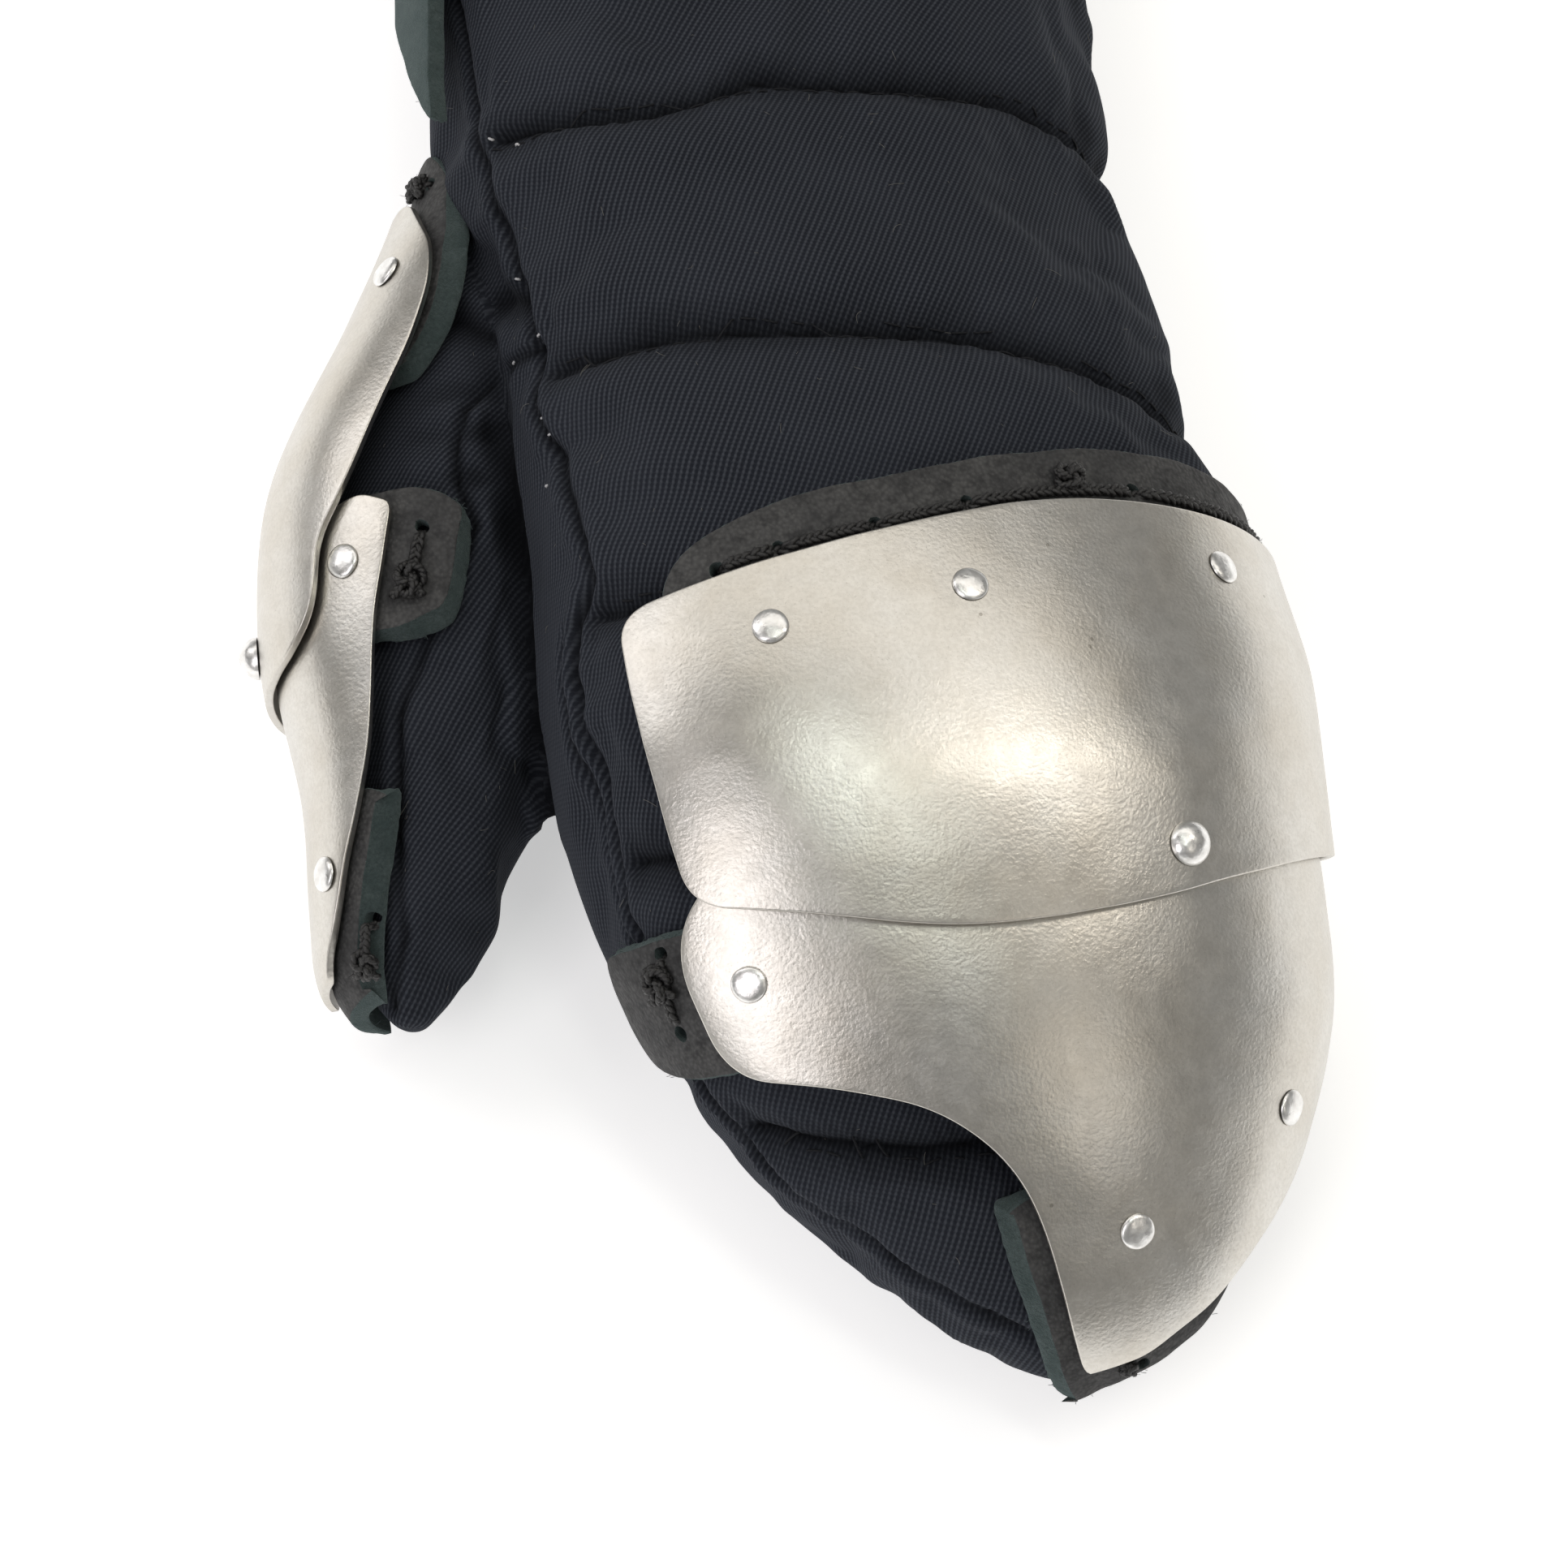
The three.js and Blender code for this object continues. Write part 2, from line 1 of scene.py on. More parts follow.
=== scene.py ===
# %% [markdown]
# # A left-hand mitten gauntlet
#
# A padded cotton mitten carries four satin steel plates. Each plate is riveted to thick black leather,
# and the leather is laced to the mitten with braided cord. Everything here bends over two rounded forms,
# one for the hand and one for the thumb, so the lesson starts with those forms, and then dresses them
# piece by piece.

# %% Load the frame
import math

import bpy
import numpy as np
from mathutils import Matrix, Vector, noise
from mathutils.kdtree import KDTree


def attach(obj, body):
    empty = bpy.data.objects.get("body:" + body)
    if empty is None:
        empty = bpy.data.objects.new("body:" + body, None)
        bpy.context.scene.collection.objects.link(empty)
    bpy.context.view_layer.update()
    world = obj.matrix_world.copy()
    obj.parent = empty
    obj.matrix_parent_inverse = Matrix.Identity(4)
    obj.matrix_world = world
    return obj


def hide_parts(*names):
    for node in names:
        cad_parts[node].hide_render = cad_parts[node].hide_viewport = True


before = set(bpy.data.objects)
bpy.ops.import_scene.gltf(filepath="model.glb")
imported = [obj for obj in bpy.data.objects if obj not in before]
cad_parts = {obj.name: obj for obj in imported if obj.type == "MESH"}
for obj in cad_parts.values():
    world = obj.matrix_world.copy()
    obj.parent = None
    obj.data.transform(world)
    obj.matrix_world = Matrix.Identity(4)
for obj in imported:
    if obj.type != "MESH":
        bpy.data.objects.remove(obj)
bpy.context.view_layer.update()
MM = 0.001
print("solids in the frame:", len(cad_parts))

# %% [markdown]
# ## The camera and the light
#
# The gauntlet lies palm down on a white table with its fingertips towards us, and we look down on it
# steeply with a long lens. Satin steel shows little but its surroundings, so the lamps are chosen for
# what the plates mirror: two long soft lamps overhead give the two soft streaks over the knuckles, and
# white panels brighten the index side and the thumb.

# %% Camera
FORM_TO_FRAME = np.array([-1.35, -60.60, 0.0])  # the forms' origin, from under the gauntlet's middle
CAMERA_HEIGHT_ANGLE = math.radians(65)
CAMERA_DISTANCE = 1.1
AIM = Vector((FORM_TO_FRAME[0] * MM, FORM_TO_FRAME[1] * MM, 45 * MM))
FRAME_WIDTH = 0.2705  # what the picture spans at the aim

back = Vector((0, -math.cos(CAMERA_HEIGHT_ANGLE), math.sin(CAMERA_HEIGHT_ANGLE)))
bpy.ops.object.camera_add(location=AIM + back * CAMERA_DISTANCE)
camera = bpy.context.object
camera.rotation_euler = back.to_track_quat("Z", "Y").to_euler()
camera.data.sensor_width = 36
camera.data.lens = 36 * CAMERA_DISTANCE / FRAME_WIDTH
camera.data.clip_start = 0.01
bpy.context.scene.camera = camera
print("lens:", round(camera.data.lens, 1), "mm")

# %% Light
ROOM_STRENGTH = 0.24
LAMPS = {  # place, aim and size in metres, then watts and colour
    "lamp_over_index_knuckle": ((0.16, -0.2, 1.26), (0, -0.03, 0.09), (0.12, 0.6), 1.2, (0.96, 1.0, 0.92)),
    "lamp_over_ring_knuckle": ((0.78, 0.0, 1.16), (0.02, -0.03, 0.09), (0.14, 0.8), 2.3, (1.0, 0.94, 0.85)),
    "index_side_panel": ((-0.64, -0.8, 0.95), (0, -0.05, 0.05), (0.6, 1.2), 5.4, (1.0, 0.96, 0.98)),
    "thumb_side_panel": ((-0.85, 0.3, 0.7), (-0.04, 0, 0.05), (0.5, 0.8), 2.2, (1.0, 0.97, 0.97)),
    "far_ceiling": ((0.1, 0.65, 1.2), (0, 0, 0.05), (2.0, 0.8), 5.6, (1.0, 0.96, 0.9)),
    "little_finger_panel": ((0.9, -0.8, 0.96), (0, 0, 0.05), (0.5, 0.5), 0.9, (1.0, 0.93, 0.83)),
}

bpy.context.scene.view_settings.view_transform = "Standard"
world = bpy.data.worlds.new("white room")
bpy.context.scene.world = world
world.use_nodes = True
world.node_tree.nodes["Background"].inputs["Color"].default_value = (1.0, 0.99, 0.96, 1)
world.node_tree.nodes["Background"].inputs["Strength"].default_value = ROOM_STRENGTH

for name, (place, aim, size, watts, colour) in LAMPS.items():
    bpy.ops.object.light_add(type="AREA", location=place)
    light = bpy.context.object
    light.name = name
    light.rotation_euler = (Vector(place) - Vector(aim)).to_track_quat("Z", "Y").to_euler()
    light.data.shape = "RECTANGLE"
    light.data.size, light.data.size_y = size
    light.data.energy = watts
    light.data.color = colour
print("lamps:", len(LAMPS))

# %% Table
bpy.ops.mesh.primitive_plane_add(size=6, location=(0, 0, 0))
table_top = bpy.context.object
table_top.name = "table"
white = bpy.data.materials.new("white_table")
white.use_nodes = True
for socket, value in (
    ("Base Color", (0.95, 0.95, 0.95, 1)),
    ("Roughness", 0.9),
    ("Specular IOR Level", 0.1),
    ("Emission Color", (1, 1, 1, 1)),
    ("Emission Strength", 0.5),
):
    white.node_tree.nodes["Principled BSDF"].inputs[socket].default_value = value
table_top.data.materials.append(white)

# %% [markdown]
# ## The two forms
#
# A mitten has no straight lines to measure from. So each form is a short table of sections, each with its
# place along the form, its middle, half its width, its height over and under the middle, and its turns.
# Smooth curves run through the sections, and any place is then given as two numbers: how far round, in
# degrees from the top, and how far along, in millimetres from the cuff. Patterns for plates, leather and
# seams are drawn in those two numbers.

# %% The sections, in millimetres and degrees
# along, x, y, z, half width, back, palm, roll, yaw, pitch
HAND_SECTIONS = np.array([
    [0, -5, 226, 45, 59, 36, 48, 12, 0, 0],
    [40, -5, 187, 44, 59.5, 36, 47, 12, 0, 0],
    [80, -4, 148, 44, 60, 36, 47, 13, 0, 0],
    [115, -1, 114, 46, 60, 36, 50, 14, 1, 0],
    [155, 9, 76, 50, 59, 35, 57, 15, 4, 0],
    [192, 18, 40, 53, 59.5, 34, 63, 16, 7, 2],
    [228, 24, 5, 52, 61, 33, 63, 16, 8, 8],
    [260, 31, -26, 45, 58.5, 31, 56, 15, 7.5, 18],
    [288, 38, -53, 36, 48.5, 27, 46, 13, 8, 28],
    [310, 45, -73, 27, 35, 22, 36, 11, 10, 38],
    [322, 50, -83.5, 21, 24, 17, 26, 10, 10, 44],
    [331, 53.5, -90, 16, 14, 11, 17, 10, 10, 50],
    [336, 55.5, -93, 13, 6, 5, 8, 10, 10, 54],
])
THUMB_SECTIONS = np.array([
    [-25, -32, 140, 44, 31, 20, 20, 0, 0, 0],
    [0, -36, 116, 44, 25, 19, 19, 0, 0, 0],
    [28, -45, 88, 42, 25, 22, 22, 0, 0, 0],
    [58, -57, 58, 37, 24, 22, 22, 0, 0, 0],
    [88, -60, 28, 33, 21.5, 21, 21, 0, 0, 0],
    [114, -59, 2, 30, 17, 18, 18, 0, 0, 0],
    [136, -62, -20, 27, 12, 14, 14, 0, 0, 0],
    [147, -64, -30, 25, 8.5, 9, 9, 0, 0, 0],
    [154, -65, -37, 23, 3, 3, 3, 0, 0, 0],
])


# %% Smooth curves through the sections
def section_at(rows, along):
    """The section values at places along a form, on smooth curves through its rows."""
    last = len(rows) - 1
    index = np.arange(last + 1)
    before, after = rows[np.maximum(index - 1, 0)], rows[np.minimum(index + 1, last)]
    slope = (after - before) / (after[:, :1] - before[:, :1])
    row = np.clip(np.searchsorted(rows[:, 0], along, side="right") - 1, 0, last - 1)
    span = (rows[row + 1, 0] - rows[row, 0])[:, None]
    t = (along[:, None] - rows[row, :1]) / span
    return (
        (2 * t**3 - 3 * t**2 + 1) * rows[row]
        + (t**3 - 2 * t**2 + t) * span * slope[row]
        + (3 * t**2 - 2 * t**3) * rows[row + 1]
        + (t**3 - t**2) * span * slope[row + 1]
    )


class Form:
    """A rounded form: at() gives points that stand a lift off its skin, in metres, in the frame."""

    def __init__(self, rows, squareness):
        self.rows = rows
        self.squareness = squareness

    def at(self, round_, along, lift=0.0):
        values = (np.atleast_1d(np.asarray(value, float)) for value in (round_, along, lift))
        round_, along, lift = np.broadcast_arrays(*values)
        _, x, y, z, half, back, palm, *turns = section_at(self.rows, along).T
        roll, yaw, pitch = np.radians(turns)
        none = np.zeros_like(x)
        ahead = np.stack([np.sin(yaw), -np.cos(yaw), none], 1)
        side = np.stack([np.cos(yaw), np.sin(yaw), none], 1)
        up = np.stack([none, none, np.cos(pitch)], 1) + ahead * np.sin(pitch)[:, None]
        across = side * np.cos(roll)[:, None] - up * np.sin(roll)[:, None]
        over = up * np.cos(roll)[:, None] + side * np.sin(roll)[:, None]
        sine, cosine = np.sin(np.radians(round_)), np.cos(np.radians(round_))
        height = np.where(cosine > 0, back, palm)
        power = self.squareness
        reach = (np.abs(sine / half) ** power + np.abs(cosine / height) ** power) ** (-1 / power)
        u, v = reach * sine, reach * cosine
        out_u = np.sign(u) * np.abs(u / half) ** (power - 1) / half
        out_v = np.sign(v) * np.abs(v / height) ** (power - 1) / height
        size = np.hypot(out_u, out_v)
        u = u + lift * out_u / size
        v = v + lift * out_v / size
        points = np.stack([x, y, z], 1) + across * u[:, None] + over * v[:, None]
        return (points + FORM_TO_FRAME) * MM

    def seat(self, round_, along, lift):
        """A point over the form and its outward normal. lift is a number or a function of the place."""
        height = lift if callable(lift) else lambda r, a: lift
        step = 0.5
        ring = np.array([[0, 0], [step, 0], [-step, 0], [0, step], [0, -step]]) + [round_, along]
        lifts = [height(r, a) for r, a in ring]
        middle, right, left, ahead, behind = self.at(ring[:, 0], ring[:, 1], lifts)
        normal = np.cross(ahead - behind, right - left)
        normal /= np.linalg.norm(normal)
        outward = self.at(round_, along, 10)[0] - self.at(round_, along, 0)[0]
        return middle, normal if normal @ outward > 0 else -normal


hand = Form(HAND_SECTIONS, 2.3)
thumb = Form(THUMB_SECTIONS, 2.1)
print("fingertip at", (hand.at(0, 336)[0] / MM).round(1), "mm")

# %% [markdown]
# ## Small helpers
#
# Each piece starts as a primitive with nothing else selected. Its points are read and written as one
# array, which is quicker and clearer than a loop over vertices. Seeded noise gives the small unevenness
# of hand work, the same each time that the script runs.


# %% Helpers for selection, points and modifiers
def deselect():
    bpy.ops.object.select_all(action="DESELECT")


def pick(piece):
    """Makes a piece the only one selected, and active."""
    deselect()
    piece.select_set(True)
    bpy.context.view_layer.objects.active = piece


def get_points(piece):
    points = np.empty(len(piece.data.vertices) * 3)
    piece.data.vertices.foreach_get("co", points)
    return points.reshape(-1, 3)


def set_points(piece, points):
    piece.data.vertices.foreach_set("co", np.asarray(points, float).ravel())
    piece.data.update()


def get_normals(piece):
    normals = np.empty(len(piece.data.vertices) * 3)
    piece.data.vertices.foreach_get("normal", normals)
    return normals.reshape(-1, 3)


def tree_of(points):
    """A search tree that finds the nearest of some points."""
    tree = KDTree(len(points))
    for i, point in enumerate(points):
        tree.insert(point, i)
    tree.balance()
    return tree


def walk(points):
    """How far along a line of points each one is."""
    return np.concatenate([[0], np.cumsum(np.linalg.norm(np.diff(points, axis=0), axis=1))])


def between(places, known, table):
    """The rows of a table at places between its known ones."""
    return np.stack([np.interp(places, known, column) for column in np.asarray(table, float).T], 1)


def unit(vectors):
    return vectors / (np.linalg.norm(vectors, axis=-1, keepdims=True) + 1e-12)


def apply_modifier(piece, kind, **settings):
    pick(piece)
    modifier = piece.modifiers.new(kind.title(), kind)
    for key, value in settings.items():
        setattr(modifier, key, value)
    bpy.ops.object.modifier_apply(modifier=modifier.name)


def edit(piece, *steps):
    """Runs edit-mode operators on the whole of a piece."""
    pick(piece)
    bpy.ops.object.mode_set(mode="EDIT")
    bpy.ops.mesh.select_all(action="SELECT")
    for step, settings in steps:
        step(**settings)
    bpy.ops.object.mode_set(mode="OBJECT")


def merge_and_face_out(piece):
    edit(
        piece,
        (bpy.ops.mesh.remove_doubles, {"threshold": 2e-6}),
        (bpy.ops.mesh.normals_make_consistent, {"inside": False}),
    )


def shade(piece, angle=None):
    pick(piece)
    if angle is None:
        bpy.ops.object.shade_smooth()
    else:
        bpy.ops.object.shade_smooth_by_angle(angle=math.radians(angle))


def ramble(points, size, seed):
    """Smooth noise from -1 to 1 at each point, with bumps about a size across."""
    shift = Vector((seed * 17.3, seed * -9.1, seed * 5.7))
    return np.array([noise.noise(Vector(p) / size + shift) for p in points])


def smooth_step(low, high, value):
    t = np.clip((np.asarray(value, float) - low) / (high - low), 0, 1)
    return t * t * (3 - 2 * t)


def finish_piece(piece, slot, *nodes):
    """Puts a finished piece on the root body, in the place of its plain solids."""
    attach(piece, "root")
    if nodes:
        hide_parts(*nodes)


# %% [markdown]
# ## Materials
#
# Four finishes carry the look. The cloth is a cotton twill, whose ribs lean across the hand a millimetre
# apart. The steel was tumbled, so it has a fine even grain, no brush lines, and faint stains. The leather
# has a smooth dyed face and a raw grey-green cut edge, so it takes two materials. The cord is waxed and
# nearly black.


# %% A small language for node trees
class Nodes:
    """Adds and joins shader nodes by name, so that a material reads as a list of steps."""

    def __init__(self, name):
        self.material = bpy.data.materials.new(name)
        self.material.use_nodes = True
        self.tree = self.material.node_tree
        self.shader = self.tree.nodes["Principled BSDF"]

    def join(self, source, socket):
        self.tree.links.new(source, socket)

    def add(self, kind, inputs=None, **settings):
        node = self.tree.nodes.new("ShaderNode" + kind)
        for key, value in settings.items():
            setattr(node, key, value)
        for key, value in (inputs or {}).items():
            if isinstance(value, bpy.types.NodeSocket):
                self.join(value, node.inputs[key])
            else:
                node.inputs[key].default_value = value
        return node

    def math(self, operation, *values):
        return self.add("Math", dict(enumerate(values)), operation=operation).outputs[0]

    def mix(self, share, first, second):
        """A colour between two, each a colour or a socket."""
        node = self.add("Mix", {0: share, 6: first, 7: second}, data_type="RGBA")
        return node.outputs[2]

    def scale(self, value, low, high, new_low=0, new_high=1):
        inputs = {"Value": value, "From Min": low, "From Max": high, "To Min": new_low, "To Max": new_high}
        return self.add("MapRange", inputs, clamp=True).outputs[0]

    def place(self):
        """Object coordinates in millimetres."""
        inputs = {0: self.add("TexCoord").outputs["Object"], "Scale": 1 / MM}
        return self.add("VectorMath", inputs, operation="SCALE").outputs[0]

    def noise(self, vector, scale, detail=2.0, roughness=0.5):
        inputs = {"Vector": vector, "Scale": scale, "Detail": detail, "Roughness": roughness}
        return self.add("TexNoise", inputs).outputs["Fac"]

    def bump(self, height, distance, strength=1.0, normal=None):
        inputs = {"Height": height, "Distance": distance * MM, "Strength": strength}
        if normal is not None:
            inputs["Normal"] = normal
        return self.add("Bump", inputs).outputs[0]

    def finish(self, colour=None, roughness=None, normal=None, **constants):
        for key, value in (("Base Color", colour), ("Roughness", roughness), ("Normal", normal)):
            if isinstance(value, bpy.types.NodeSocket):
                self.join(value, self.shader.inputs[key])
            elif value is not None:
                self.shader.inputs[key].default_value = value
        for key, value in constants.items():
            self.shader.inputs[key.replace("_", " ")].default_value = value
        return self.material


# %% Cotton twill
def cotton_twill():
    """Black cotton twill: fine leaning ribs, floats along each rib, fuzz, fading and painted shade in
    creases.
    """
    n = Nodes("cotton_twill")
    uv = n.add("UVMap", uv_map="weave").outputs[0]
    wander = n.noise(uv, 0.06, 2)
    parts = n.add("SeparateXYZ", {0: uv})
    u, v = parts.outputs[0], parts.outputs[1]
    lean = math.radians(59)  # of the ribs, from straight across the hand
    pitch = 0.93  # from rib to rib
    across = n.math("ADD", n.math("MULTIPLY", u, math.sin(lean)), n.math("MULTIPLY", v, math.cos(lean)))
    along = n.math("SUBTRACT", n.math("MULTIPLY", v, math.sin(lean)), n.math("MULTIPLY", u, math.cos(lean)))
    across = n.math("ADD", n.math("DIVIDE", across, pitch), n.math("MULTIPLY", wander, 0.6))
    rib = n.scale(n.math("SINE", n.math("MULTIPLY", across, 2 * math.pi)), -0.6, 1)
    step = n.math("MULTIPLY", n.math("FLOOR", across), 0.37)
    turns = n.math("ADD", n.math("DIVIDE", along, 0.8), step)
    floats = n.math("SINE", n.math("MULTIPLY", turns, 2 * math.pi))
    fuzz = n.noise(uv, 2.4, 4, 0.75)
    height = n.math("ADD", rib, n.math("MULTIPLY", floats, 0.22))
    height = n.math("ADD", height, n.math("MULTIPLY", fuzz, 1.0))
    faded = n.scale(n.noise(uv, 0.035, 3), 0.3, 0.7)
    base = n.mix(faded, (0.0105, 0.0122, 0.0172, 1), (0.0178, 0.0203, 0.0275, 1))
    # Rib tops and fuzz are paler: partly wear, partly a painted highlight on the ribs.
    worn_and_highlit = n.math("MULTIPLY", n.scale(height, 0.6, 2.1), 0.9)
    colour = n.mix(worn_and_highlit, base, (0.068, 0.075, 0.09, 1))
    # Painted shade: an attribute on the skin darkens the colour nearly to black in slots, seams, fold
    # hollows and the thumb's fork.
    crease_shade = n.add("Attribute", attribute_name="crease_shade").outputs["Fac"]
    colour = n.mix(crease_shade, colour, (0.0012, 0.0014, 0.002, 1))
    return n.finish(
        colour, 0.95, n.bump(height, 0.13, 0.6),
        Sheen_Weight=0.06, Sheen_Roughness=0.45, Sheen_Tint=(0.55, 0.6, 0.7, 1), Specular_IOR_Level=0.1,
    )


cloth = cotton_twill()


# %% Tumbled steel
def tumbled_steel():
    """Satin steel: an even fine grain, shallow waves from the hammer, warm stains and a few pits."""
    n = Nodes("tumbled_steel")
    place = n.place()
    grain = n.noise(place, 1.5, 3, 0.5)
    waves = n.noise(place, 0.09, 2)
    stain = n.scale(n.noise(place, 0.045, 4, 0.6), 0.35, 0.68)
    colour = n.mix(stain, (0.66, 0.645, 0.61, 1), (0.585, 0.555, 0.5, 1))
    colour = n.mix(n.scale(grain, 0.38, 0.62, 0, 0.22), colour, (0.4, 0.38, 0.34, 1))
    specks = n.noise(place, 3.2, 1)
    colour = n.mix(n.scale(specks, 0.66, 0.74, 0, 0.35), colour, (0.3, 0.28, 0.25, 1))
    pits = n.add("TexVoronoi", {"Vector": place, "Scale": 0.16})
    rare = n.math("GREATER_THAN", n.add("SeparateXYZ", {0: pits.outputs["Color"]}).outputs[0], 0.8)
    pit = n.math("MULTIPLY", n.math("LESS_THAN", pits.outputs["Distance"], 0.055), rare)
    colour = n.mix(n.math("MULTIPLY", pit, 0.5), colour, (0.2, 0.18, 0.15, 1))
    rough = n.scale(n.noise(place, 0.3, 3), 0.3, 0.7, 0.3, 0.36)
    normal = n.bump(waves, 0.35, 0.3)
    normal = n.bump(grain, 0.11, 0.5, normal)
    return n.finish(colour, rough, normal, Metallic=1.0)


def polished_rivet():
    """A set rivet: smooth bright steel with small hammer marks."""
    n = Nodes("polished_rivet")
    place = n.place()
    dull = n.scale(n.noise(place, 0.5, 3), 0.35, 0.7)
    colour = n.mix(dull, (0.86, 0.86, 0.85, 1), (0.68, 0.67, 0.65, 1))
    rough = n.scale(n.noise(place, 1.2, 2), 0.3, 0.7, 0.26, 0.38)
    return n.finish(colour, rough, n.bump(n.noise(place, 0.8, 2), 0.2, 0.4), Metallic=1.0)


steel = tumbled_steel()
rivet_steel = polished_rivet()


# %% Leather, its cut edge, and waxed cord
def leather_face():
    """Dyed black leather: a fine pebbled grain, a dull wax finish and paler rubbed places."""
    n = Nodes("leather_face")
    place = n.place()
    pebbles = n.add("TexVoronoi", {"Vector": place, "Scale": 1.55}, feature="SMOOTH_F1").outputs["Distance"]
    creases = n.noise(place, 0.35, 5, 0.65)
    rubbed = n.scale(n.noise(place, 0.12, 3), 0.35, 0.7)
    colour = n.mix(rubbed, (0.043, 0.0435, 0.0445, 1), (0.072, 0.072, 0.071, 1))
    between_pebbles = n.math("MULTIPLY", n.scale(pebbles, 0.2, 0.7), 0.7)
    colour = n.mix(between_pebbles, colour, (0.016, 0.016, 0.017, 1))
    colour = n.mix(n.scale(creases, 0.5, 0.64, 0, 0.6), colour, (0.015, 0.015, 0.016, 1))
    rough = n.scale(creases, 0.3, 0.7, 0.62, 0.78)
    normal = n.bump(creases, 0.5, 0.5)
    normal = n.bump(n.math("SUBTRACT", 1.0, pebbles), 0.25, 0.6, normal)
    return n.finish(colour, rough, normal, Specular_IOR_Level=0.35)


def leather_edge():
    """The cut edge and the flesh side: raw fibres, dyed an uneven grey-green."""
    n = Nodes("leather_edge")
    place = n.place()
    fibres = n.noise(place, 1.6, 6, 0.75)
    patches = n.scale(n.noise(place, 0.22, 3), 0.35, 0.68)
    colour = n.mix(patches, (0.034, 0.052, 0.05, 1), (0.075, 0.096, 0.094, 1))
    colour = n.mix(n.scale(fibres, 0.35, 0.65, 0, 0.8), (0.02, 0.029, 0.029, 1), colour)
    return n.finish(
        colour, 1.0, n.bump(fibres, 0.5, 0.9),
        Sheen_Weight=0.3, Sheen_Roughness=0.6, Sheen_Tint=(0.6, 0.75, 0.75, 1), Specular_IOR_Level=0.1,
    )


def waxed_cord():
    n = Nodes("waxed_cord")
    place = n.place()
    fibres = n.noise(place, 3.0, 4, 0.7)
    colour = n.mix(n.scale(fibres, 0.35, 0.7), (0.004, 0.004, 0.005, 1), (0.03, 0.029, 0.028, 1))
    return n.finish(colour, 0.42, n.bump(fibres, 0.2, 0.7), Specular_IOR_Level=0.5)


def plain_thread(name, colour):
    n = Nodes(name)
    shade_of = n.mix(n.noise(n.place(), 2.5, 3), colour, tuple(0.55 * c for c in colour[:3]) + (1,))
    return n.finish(shade_of, 0.8, n.bump(n.noise(n.place(), 4.0, 2), 0.1, 0.5), Specular_IOR_Level=0.2)


leather = leather_face()
raw_edge = leather_edge()
cord_finish = waxed_cord()
black_thread = plain_thread("black_thread", (0.012, 0.013, 0.016, 1))
white_thread = plain_thread("white_thread", (0.6, 0.6, 0.62, 1))
lint = plain_thread("lint", (0.22, 0.215, 0.2, 1))
print("materials:", len(bpy.data.materials))

# %% [markdown]
# ## A blank for plate and leather
#
# The smith and the leather worker both start with a flat blank, cut to a pattern. Ours is a grid whose
# columns go round the pattern. Its rows start at the middle of the front, go out to the edge, over the
# rounded edge and down the cut wall, and come back to the middle of the back. So the rows are close
# together where the edge needs them, and the edge can be rounded, worn or frayed row by row. Then every
# point is lifted over its form, which bends the blank.


# %% The pattern's outline
def outline(form, corners, count):
    """Even points round a pattern of corners [round, along, radius], and its length. Corners are curved."""
    corners = np.array(corners, float)
    points = []
    for i, (*corner, radius) in enumerate(corners):
        ends = []
        for other in (corners[i - 1, :2], corners[(i + 1) % len(corners), :2]):
            way = other - corner
            ends.append(corner + way * min(radius / np.hypot(*way), 0.5))
        t = np.linspace(0, 1, 12)[:, None]
        points.append((1 - t) ** 2 * ends[0] + 2 * t * (1 - t) * np.array(corner) + t**2 * ends[1])
    points = np.concatenate(points)
    closed = np.vstack([points, points[:1]])
    walked = walk(form.at(closed[:, 0], closed[:, 1], 5))
    return between(np.linspace(0, walked[-1], count, endpoint=False), walked, closed), walked[-1]


def scale_at(form, pattern):
    """Millimetres on the skin to a degree round, and to a millimetre along."""
    step = 0.5
    r, a = pattern.T
    round_ = np.linalg.norm(form.at(r + step, a, 5) - form.at(r - step, a, 5), axis=1) / (2 * step)
    along = np.linalg.norm(form.at(r, a + step, 5) - form.at(r, a - step, 5), axis=1) / (2 * step)
    return np.stack([round_, along], 1) / MM


def outward_of(form, pattern, span=1):
    """The way out of a closed outline at each of its points, as millimetres round and along."""
    along = (np.roll(pattern, -span, 0) - np.roll(pattern, span, 0)) * scale_at(form, pattern)
    outward = unit(np.stack([along[:, 1], -along[:, 0]], 1))
    r, a = pattern.T
    return -outward if np.sum(r * np.roll(a, -1) - a * np.roll(r, -1)) < 0 else outward


def inset(form, pattern, distance):
    """A closed outline moved inwards by millimetres."""
    return pattern - outward_of(form, pattern) * np.reshape(distance, (-1, 1)) / scale_at(form, pattern)


# %% The blank, bent over its form
GRID = 0.8  # from point to point round the edge, in millimetres


